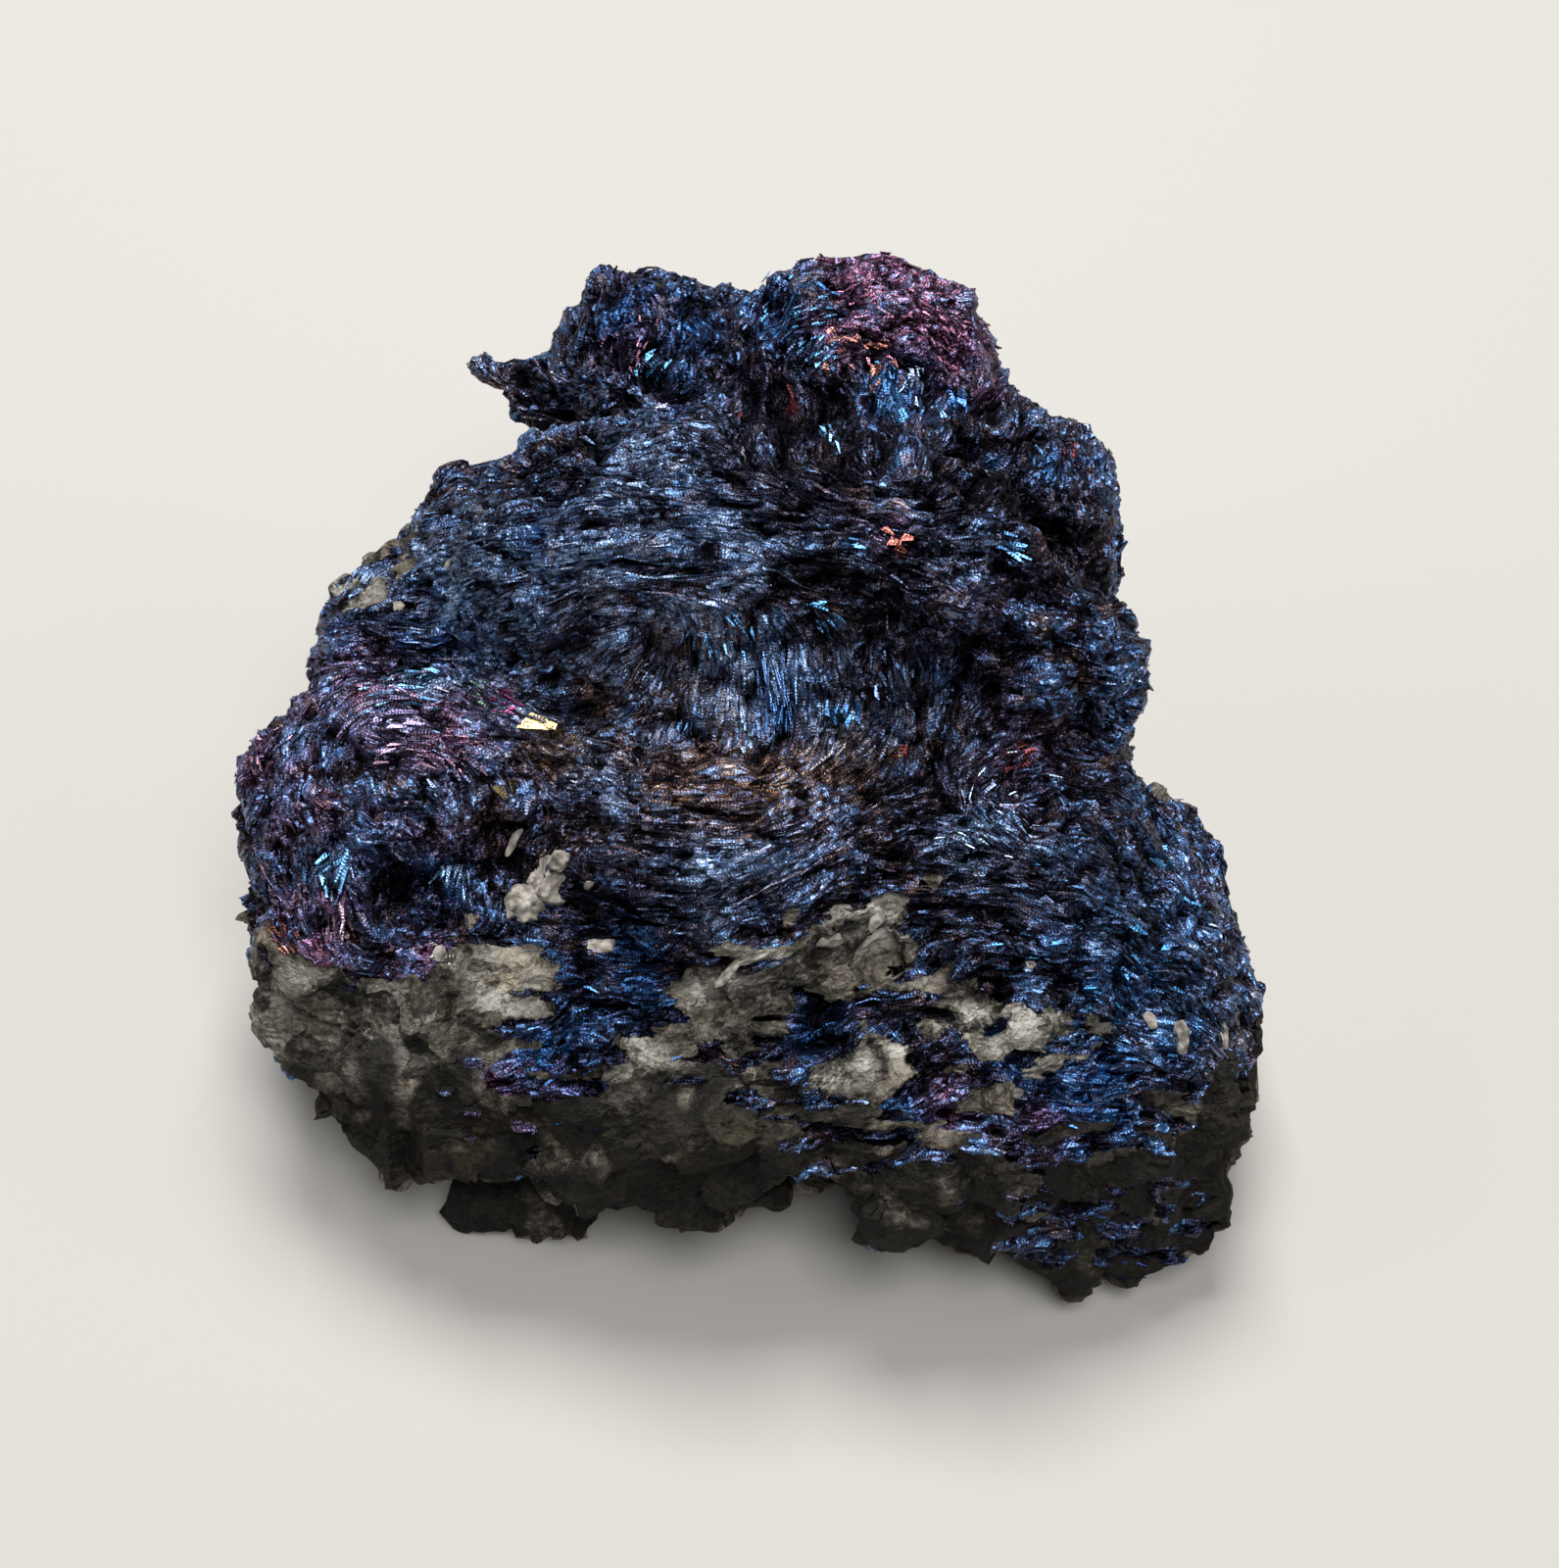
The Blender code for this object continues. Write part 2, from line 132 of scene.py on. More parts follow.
# The grain of the leaves as it runs over the specimen seen from the camera, in pixels
GRAIN_STROKES = {
    "left_lobe_a": [(600, 300), (590, 345), (600, 400)],
    "left_lobe_b": [(632, 285), (636, 340), (640, 395)],
    "left_lobe_c": [(677, 300), (672, 350), (668, 395)],
    "left_lobe_d": [(720, 300), (722, 345), (715, 390)],
    "left_lobe_e": [(752, 308), (758, 350), (750, 390)],
    "under_left_lobe": [(520, 395), (560, 408), (650, 412), (740, 402)],
    "horn": [(497, 382), (520, 408), (540, 440)],
    "horn_fold": [(520, 445), (560, 470), (620, 455), (690, 452)],
    "horn_plate": [(617, 420), (668, 448)],
    "throat_left": [(750, 410), (765, 440), (775, 475)],
    "throat": [(800, 390), (812, 430), (822, 470)],
    "right_lobe_rim": [(775, 320), (820, 278), (900, 270), (985, 307), (1030, 380)],
    "right_lobe_arc": [(800, 350), (850, 325), (920, 330), (985, 375)],
    "right_lobe_front_a": [(860, 390), (862, 430), (870, 470)],
    "right_lobe_front_b": [(905, 380), (908, 430), (918, 480)],
    "right_lobe_front_c": [(960, 385), (955, 430), (945, 480)],
    "right_lobe_front_d": [(1010, 400), (990, 440), (965, 480)],
    "right_ropes_a": [(1050, 410), (1010, 450), (975, 490), (930, 515)],
    "right_ropes_b": [(1090, 430), (1060, 470), (1035, 520), (1020, 550)],
    "right_edge": [(1100, 440), (1125, 500), (1135, 560), (1130, 590)],
    "shoulder_top": [(500, 510), (600, 485), (720, 482), (850, 500), (960, 530), (1060, 575)],
    "shoulder_middle": [(430, 560), (540, 530), (660, 520), (800, 525), (930, 550), (1040, 590)],
    "shoulder_low": [(420, 600), (520, 570), (640, 545), (760, 552), (880, 575), (1000, 600), (1080, 640)],
    "shoulder_lip": [(470, 625), (560, 597), (655, 572), (740, 588), (830, 608), (930, 618), (1010, 625)],
    "left_slope": [(350, 610), (400, 560), (450, 520), (500, 490)],
    "left_ropes_a": [(380, 625), (460, 632), (550, 622), (635, 600)],
    "left_ropes_b": [(400, 655), (465, 658), (530, 645), (590, 628), (645, 610)],
    "left_ropes_c": [(470, 680), (535, 688), (585, 668), (625, 650), (655, 628)],
    "knob_arc_a": [(325, 675), (370, 676), (420, 678), (465, 690), (510, 710), (540, 735)],
    "knob_arc_b": [(365, 712), (405, 697), (440, 694), (478, 706), (505, 735)],
    "knob_arc_c": [(375, 748), (430, 738), (480, 752), (530, 778)],
    "knob_slant_a": [(345, 775), (385, 815), (430, 850)],
    "knob_slant_b": [(425, 785), (465, 815), (492, 855)],
    "knob_edge": [(325, 680), (290, 715), (262, 765), (245, 815), (250, 860)],
    "knob_left": [(345, 695), (322, 735), (308, 780), (300, 825)],
    "knob_streaks_a": [(345, 850), (350, 900), (355, 955)],
    "knob_streaks_b": [(318, 860), (322, 905), (335, 950)],
    "knob_streaks_c": [(285, 860), (288, 900), (300, 940)],
    "pit_top": [(370, 835), (405, 850), (440, 845)],
    "pit_right": [(450, 870), (440, 905), (452, 945)],
    "pit_foot": [(385, 960), (410, 940), (440, 950), (480, 935)],
    "valley_left": [(490, 850), (488, 885), (500, 920)],
    "knob_foot": [(265, 925), (300, 965), (345, 990), (400, 1005)],
    "valley": [(535, 770), (540, 805), (530, 850), (520, 900)],
    "brown_fan_a": [(545, 765), (600, 785), (660, 800)],
    "brown_fan_b": [(560, 730), (610, 715), (670, 690)],
    "wall_a": [(665, 625), (682, 660), (672, 710), (668, 745)],
    "wall_b": [(720, 615), (728, 660), (725, 710), (715, 755)],
    "wall_c": [(775, 632), (790, 670), (792, 720), (795, 765)],
    "wall_d": [(830, 640), (850, 690), (845, 740), (830, 775)],
    "wall_e": [(880, 640), (900, 690), (890, 740), (875, 780)],
    "wall_f": [(930, 640), (950, 690), (940, 740)],
    "seat_a": [(600, 790), (660, 806), (720, 808), (770, 818), (820, 812), (870, 788)],
    "seat_b": [(580, 827), (650, 833), (720, 832), (780, 838), (840, 828), (885, 800)],
    "seat_c": [(590, 860), (660, 872), (730, 876), (800, 862), (850, 832)],
    "seat_d": [(610, 897), (680, 912), (750, 906), (815, 880), (860, 850)],
    "seat_e": [(620, 935), (690, 947), (760, 938), (820, 912)],
    "seat_right": [(818, 850), (812, 880), (805, 905)],
    "corner_rope": [(835, 825), (880, 803), (898, 760), (905, 720)],
    "fold_a": [(862, 835), (915, 818), (960, 830)],
    "fold_b": [(868, 880), (925, 858), (970, 858)],
    "spray": [(960, 790), (990, 825), (1015, 860), (1050, 885)],
    "pillar_a": [(945, 600), (950, 650), (960, 690), (955, 740)],
    "pillar_b": [(1000, 700), (988, 740), (985, 780), (965, 820)],
    "pillar_top": [(990, 580), (1040, 600), (1100, 615), (1140, 640)],
    "pillar_middle": [(1000, 668), (1070, 672), (1145, 685)],
    "pillar_low": [(1010, 740), (1070, 735), (1130, 745)],
    "pillar_foot": [(985, 805), (1040, 770), (1095, 765), (1140, 780)],
    "slope_a": [(845, 915), (905, 893), (980, 890), (1050, 900), (1120, 920), (1180, 950)],
    "slope_b": [(870, 960), (940, 925), (1020, 920), (1100, 940), (1180, 975), (1240, 1010)],
    "slope_c": [(900, 1000), (980, 965), (1060, 960), (1140, 985), (1210, 1020), (1250, 1050)],
    "slope_d": [(960, 1015), (1040, 985), (1110, 992), (1180, 1020), (1235, 1055)],
    "flank": [(1150, 800), (1195, 850), (1225, 910), (1245, 960)],
    "flank_low": [(1255, 960), (1275, 1010), (1280, 1070), (1278, 1130)],
    "ledge_a": [(550, 985), (610, 990), (690, 980), (750, 955), (800, 930)],
    "ledge_b": [(480, 1075), (560, 1025), (640, 1015), (720, 1000), (800, 965), (860, 940)],
    "vein_a": [(805, 1140), (870, 1096), (940, 1055), (1000, 1035)],
    "vein_b": [(820, 1170), (905, 1155), (1000, 1135), (1090, 1122), (1160, 1115)],
    "block_low": [(860, 1230), (960, 1215), (1060, 1190), (1150, 1175), (1220, 1165)],
    "block_foot": [(900, 1265), (1000, 1250), (1100, 1245), (1200, 1250)],
    "corner_block": [(270, 1080), (350, 1110), (430, 1140), (520, 1160)],
    "front_ledge": [(350, 1165), (450, 1190), (560, 1195), (680, 1180), (790, 1160)],
}

# Where covellite gives way to matrix, seen from the camera, from left to right in pixels
MATRIX_LINE = [
    (200, 955), (262, 962), (300, 978), (350, 998), (400, 1010), (450, 985), (480, 955), (530, 945),
    (560, 985), (600, 1035), (640, 1050), (680, 1020), (720, 985), (780, 965), (850, 940), (900, 925),
    (950, 965), (1000, 1008), (1060, 1016), (1110, 1028), (1160, 1060), (1200, 1100), (1240, 1080),
    (1290, 1060),
]

# How far matrix and covellite merge and how far their border wanders, in pixels, the widths in mm of its
# broad and its fine wandering, and how much the fine one counts
MATRIX_MERGE = 34.0
MATRIX_WANDER = 26.0
MATRIX_PATCH = 2.6
MATRIX_FINE_PATCH = 1.04
MATRIX_FINE_SHARE = 0.5

# Covellite inside the matrix (less than 0) and matrix inside covellite: x, y and reach in pixels, and share
MIXED_PATCHES = [
    (580, 1065, 48, -1.0), (640, 1000, 45, -0.8), (520, 1125, 50, -0.55), (833, 1042, 34, -0.9),
    (930, 1120, 50, -0.5), (1060, 1140, 40, -0.55), (1150, 1110, 60, -0.8), (1190, 1035, 55, -0.9),
    (1060, 1256, 34, -0.9), (1130, 1254, 34, -0.9), (1200, 1245, 30, -0.8), (800, 1100, 40, -0.5),
    (870, 1062, 34, -0.5), (760, 1060, 34, -0.35), (500, 1010, 26, -0.35), (830, 1170, 30, -0.6),
    (360, 605, 24, 0.6), (400, 560, 30, 0.35), (715, 1010, 30, 0.3), (870, 965, 40, 0.5),
    (900, 935, 24, 0.6), (1045, 1072, 34, -0.2), (860, 1100, 22, 0.5), (905, 1076, 22, 0.5),
    (950, 1056, 22, 0.5), (1000, 1036, 24, 0.4), (1090, 1060, 26, 0.35), (960, 900, 24, 0.3),
    (940, 1080, 130, -0.5), (1090, 1090, 70, -0.3), (700, 1060, 60, -0.2), (490, 1040, 50, -0.25),
]

# Streaks that mix the two along the grain: their width in mm, the passes that draw them out, how strongly
# they mix, the shares over which covellite gives way to stone, and the streaks' own range
STREAK_WIDTH = 0.9
STREAK_PASSES = 18
MIXED_STREAKS = 0.9
STONE_SHARES = (0.32, 0.68)
STREAK_RANGE = (-1.8, 1.8)

# The matrix on the other sides: the height in mm up to which it shows, how far and over what width its
# top wanders, and how far it merges with covellite there
MATRIX_BACK_TOP = 12.0
MATRIX_BACK_WANDER = 7.0
MATRIX_BACK_WIDTH = 9.0
MATRIX_BACK_MERGE = 1.5

# Hollows that the light hardly reaches: x, y and reach in pixels, and depth in mm
HOLLOWS = [
    (407, 912, 19, 1.3), (833, 1042, 20, 1.3), (1075, 545, 15, 1.0), (1000, 500, 18, 1.0),
    (570, 435, 22, 1.1), (600, 470, 18, 0.9), (525, 850, 12, 1.2), (518, 880, 12, 1.2),
    (655, 945, 18, 0.9), (690, 950, 18, 0.8), (840, 597, 12, 0.8), (870, 603, 12, 0.9),
    (905, 612, 12, 0.7), (560, 690, 14, 0.7), (865, 795, 11, 0.7), (1110, 760, 16, 0.7),
    (935, 850, 14, 0.9), (905, 872, 16, 0.8), (950, 885, 14, 0.8), (1020, 690, 14, 0.8),
    (345, 905, 8, 0.5), (750, 400, 14, 0.7), (845, 420, 12, 0.8), (960, 415, 12, 0.7),
    (300, 1045, 14, 0.6), (345, 1040, 12, 0.8), (1030, 770, 14, 0.8), (900, 640, 14, 0.5),
    (700, 1120, 14, 0.6), (1235, 1175, 20, 0.6), (480, 860, 12, 0.8), (850, 680, 13, 0.4),
    (1010, 650, 14, 0.8), (590, 645, 12, 0.8), (455, 665, 10, 0.7), (1075, 600, 14, 0.8),
    (660, 700, 12, 0.6), (1060, 830, 14, 0.7), (420, 830, 12, 0.7), (290, 900, 12, 0.6),
]

# How uneven the hollows' rims are, and over what width in mm
HOLLOW_WANDER = 0.7
HOLLOW_WIDTH = 1.6

# Painted shade in the grooves and hollows: the heights of the ropes in mm between which the painted shade of
# their gaps gives way to crests, and the depths at which hollows begin and end to be painted darker
GROOVE_SHADE_HEIGHTS = (-0.75, 0.55)
HOLLOW_SHADE_DEPTHS = (0.2, 1.5)

# Painted light and shade on covellite, with some of its own tone: where its colour is painted brighter, on
# tops turned to the light, and darker below 0, in pits, throats and under overhangs: x, y and reach in
# pixels, and by how much
PAINTED_LIGHT_AND_TONE = [
    (1010, 500, 60, -0.24), (1090, 560, 40, -0.18), (560, 745, 40, 0.16), (840, 600, 60, -0.1),
    (600, 1060, 60, -0.22), (560, 470, 50, -0.12), (640, 330, 60, -0.22), (800, 430, 60, -0.42),
    (1060, 950, 80, -0.16), (660, 500, 90, -0.05), (930, 860, 40, -0.2), (700, 960, 60, -0.18),
    (600, 900, 50, -0.2), (500, 880, 40, -0.15), (300, 830, 50, 0.02), (1080, 780, 40, -0.2),
    (940, 650, 50, -0.05), (870, 600, 40, -0.1), (800, 680, 70, 0.06), (560, 690, 40, -0.1),
    (1030, 700, 50, -0.05), (1120, 1250, 60, -0.2), (940, 1080, 70, -0.15), (700, 520, 90, 0.12),
    (720, 900, 40, 0.1), (790, 690, 40, 0.1), (985, 850, 30, 0.14), (640, 800, 50, 0.05),
    (850, 370, 50, 0.06), (500, 640, 50, 0.06), (1180, 1010, 50, 0.04),
]

# Patches of each finish, among them painted shade (dark) and a partly painted sheen (pale): x and y in
# pixels, reach in pixels, and strength
PATCHES = {
    "violet": [
        (880, 290, 50, 0.9), (935, 305, 60, 1.0), (985, 350, 45, 1.0), (1003, 390, 22, 0.7),
        (850, 350, 35, 0.6), (640, 283, 16, 0.6), (640, 348, 30, 0.45), (430, 745, 55, 0.9),
        (400, 795, 40, 0.6), (385, 690, 40, 0.6), (265, 780, 24, 0.7), (345, 905, 36, 0.6),
        (285, 943, 24, 1.0), (335, 972, 24, 0.9), (430, 975, 30, 0.8), (500, 715, 26, 0.8),
        (500, 1125, 46, 0.7), (560, 1100, 30, 0.4), (1050, 770, 36, 0.4), (912, 552, 22, 0.9),
        (440, 830, 60, 0.4), (300, 820, 45, 0.45), (490, 275, 20, 0.5), (965, 1130, 36, 0.5),
        (1066, 1140, 30, 0.5), (300, 700, 36, 0.45), (1000, 620, 30, 0.25),
    ],
    "brown": [
        (780, 790, 85, 1.0), (690, 785, 75, 1.0), (850, 770, 60, 1.0), (740, 830, 60, 0.5),
        (610, 740, 55, 1.0), (560, 775, 45, 1.0), (590, 835, 40, 0.5), (520, 740, 30, 0.6),
        (860, 700, 60, 0.8), (690, 640, 50, 0.8), (760, 650, 60, 0.6), (720, 730, 60, 0.9),
        (900, 750, 50, 0.7), (640, 700, 50, 0.6), (1000, 740, 36, 0.4), (1080, 540, 40, 0.9),
        (930, 435, 18, 0.8), (1090, 430, 26, 0.5), (808, 420, 14, 0.6), (600, 605, 45, 0.4),
        (500, 395, 30, 0.5), (700, 870, 50, 0.3), (510, 830, 30, 0.5), (1265, 1080, 40, 0.6),
        (820, 650, 50, 0.5), (740, 650, 40, 0.4),
    ],
    "blue": [
        (700, 350, 55, 0.5), (640, 320, 40, 0.7), (795, 335, 34, 0.8), (430, 640, 40, 0.6),
        (560, 560, 50, 0.3), (1130, 960, 70, 0.8), (1180, 1035, 55, 1.0), (640, 985, 60, 0.8),
        (570, 1065, 50, 0.9), (910, 415, 40, 0.6), (360, 885, 30, 0.6), (1120, 1120, 50, 0.9),
        (1120, 1255, 60, 0.35), (930, 1110, 40, 0.8), (833, 1042, 34, 0.9), (1020, 1060, 40, 0.6),
        (800, 700, 40, 0.6), (1050, 560, 36, 0.5), (1070, 480, 26, 0.5), (450, 900, 34, 0.5),
    ],
    # Painted sheen: pale slate where the leaves' tops turn to the light, partly the leaves' own pale slate
    "pale": [
        (790, 690, 45, 0.7), (690, 690, 40, 0.5), (895, 690, 40, 0.5), (500, 640, 75, 0.7),
        (860, 720, 50, 0.5), (700, 520, 120, 0.5), (960, 560, 60, 0.4), (1100, 930, 80, 0.4),
        (620, 640, 50, 0.4), (1195, 1030, 40, 0.45), (700, 720, 40, 0.3), (440, 800, 50, 0.3),
        (620, 790, 40, 0.3), (660, 500, 75, 0.8), (760, 545, 75, 0.6), (600, 570, 60, 0.6),
        (900, 570, 50, 0.3), (440, 560, 45, 0.7), (385, 600, 40, 0.6), (720, 905, 45, 1.0),
        (785, 890, 34, 0.6), (985, 850, 40, 0.9), (1010, 800, 30, 0.5), (430, 695, 24, 0.7),
        (410, 745, 20, 0.5), (500, 540, 40, 0.5), (1060, 880, 30, 0.5), (720, 440, 36, 0.4),
    ],
    "buff": [
        (520, 1000, 40, 0.5), (660, 1060, 45, 0.4), (715, 1080, 40, 0.4), (790, 990, 40, 0.4),
        (940, 1060, 50, 0.3), (1050, 1060, 55, 0.6), (1000, 1035, 24, 0.9), (845, 1102, 20, 0.9),
        (880, 1085, 18, 0.9), (920, 1062, 18, 0.9), (960, 1046, 18, 0.9), (715, 1016, 16, 0.9),
        (750, 995, 16, 0.9), (783, 975, 16, 0.9), (360, 605, 30, 0.9), (890, 940, 40, 0.7),
        (290, 1020, 45, 0.5), (400, 1050, 40, 0.5), (1090, 1090, 40, 0.6), (400, 1045, 40, 0.4),
    ],
    # Painted shade: the matrix's lower, front faces and the undersides of its ledges, where the specimen's
    # own shadow falls
    "dark": [
        (390, 1125, 60, 0.9), (445, 1135, 60, 0.9), (400, 1160, 80, 0.95), (480, 1210, 90, 0.95),
        (600, 1190, 100, 0.95), (710, 1180, 90, 0.95), (790, 1190, 70, 0.9), (870, 1220, 80, 0.9),
        (950, 1250, 90, 0.95), (1030, 1300, 90, 1.0), (1130, 1200, 90, 1.0), (1200, 1190, 80, 1.0),
        (1200, 1290, 80, 0.95), (1270, 1110, 60, 0.9), (960, 1190, 60, 0.7), (350, 1090, 30, 0.6),
        (900, 1290, 60, 0.95), (500, 1250, 80, 0.9), (300, 1110, 30, 0.5), (640, 1110, 40, 0.5),
        (830, 1120, 40, 0.5),
    ],
    "gold": [
        (430, 1180, 22, 1.0), (480, 1166, 26, 1.0), (550, 1152, 16, 0.8), (745, 1165, 34, 0.6),
        (520, 990, 20, 0.4),
    ],
}

# How far patches spread as a share of their reach, how much they wander, and over what width in mm
PATCH_SPREAD = 0.7
PATCH_WANDER = 1.55
PATCH_WIDTH = 3.0

# Patches on the sides away from the camera: how strong they are, their width in mm, and their rim
HIDDEN_STRENGTH = 0.35
HIDDEN_WIDTH = 9.0
HIDDEN_RIM = (0.0, 0.6)

# Where the grain is combed or tangled: x, y and reach in pixels, and how much of the wandering it keeps
COMBED = [
    (790, 690, 60, 0.35), (720, 850, 90, 0.4), (500, 640, 80, 0.4), (430, 715, 40, 0.6),
    (640, 800, 60, 0.5), (760, 780, 80, 0.5), (650, 520, 90, 0.6), (400, 810, 50, 1.9),
    (480, 790, 30, 1.6), (480, 670, 60, 0.4), (1000, 840, 50, 0.5), (915, 300, 80, 2.2),
    (690, 330, 70, 1.6), (400, 900, 60, 1.5), (300, 820, 50, 1.5), (640, 440, 60, 1.8),
    (1070, 700, 70, 1.7), (1080, 530, 60, 1.6), (900, 640, 50, 1.5), (930, 860, 50, 1.6),
    (1000, 1080, 90, 1.5), (600, 1080, 60, 1.6),
]

# The slim leaves: how many, their sizes in mm, how much commoner short ones are, and how much of their
# height is sunk in the skin
LEAVES = 2600
LEAF_LENGTH = (2.2, 8.0)
LEAF_SHORTNESS = 1.6
LEAF_WIDTH = (0.04, 0.075)
LEAF_HEIGHT = (0.07, 0.17)
LEAF_SINK = 0.3

# How the leaves lean, in degrees: all those within a width in mm, each by itself, and at the most
LEAF_LEAN = 76.0
LEAF_LEAN_WIDTH = 4.0
LEAF_LEAN_SPREAD = 22.0
LEAF_LEAN_LIMIT = 75.0

# The stations along a leaf, how far in mm the skin may fall away from it, how nearly the skin has to face
# the same way from station to station, and how much leaves keep away from short packed ones
LEAF_STATIONS = 7
LEAF_STRAY = 0.45
LEAF_EVEN = 0.3
LEAF_AVOIDS = 0.9

# The small plates: how many, their length and thickness in mm, their width as a share of their length,
# their tilts in degrees, and how far they are lifted off the skin in mm
PLATES = 3000
PLATE_LENGTH = (0.3, 1.25)
PLATE_WIDTH = (0.24, 0.5)
PLATE_THICKNESS = 0.06
PLATE_ROLL = 15.0
PLATE_PITCH = 8.0
PLATE_LIFT = (-0.03, 0.07)

# A plate's outline: the width of its narrow end as a share, and how far its other end slants
PLATE_NARROW = 0.35
PLATE_SLANT = 0.5

# Where plates lie thickest, seen from the camera: x, y and reach in pixels, and share
PLATE_PATCHES = [
    (880, 360, 90, 1.0), (940, 420, 70, 1.0), (690, 350, 80, 0.7), (430, 750, 80, 1.0),
    (350, 900, 60, 1.0), (300, 800, 60, 0.6), (1080, 700, 90, 0.6), (1000, 840, 70, 0.6),
    (1080, 930, 100, 0.6), (1180, 1020, 70, 0.8), (790, 690, 90, 0.5), (420, 570, 60, 0.6),
    (650, 440, 60, 0.5), (1060, 520, 60, 0.5), (580, 760, 50, 0.6),
]

# How far those patches spread as a share of their reach, and the share of plates outside them
PLATE_SPREAD = 0.8
PLATES_ELSEWHERE = 0.12

# How thickly leaves and plates stand on the sides away from the camera, underneath, where the skin turns
# down by these shares, and in the grooves, which end between these heights of the ropes in mm
AWAY = 0.5
UNDERNEATH = 0.1
TURNS_DOWN = (0.3, 0.8)
IN_GROOVES = 0.35
GROOVE_ENDS = (-0.25, 0.15)

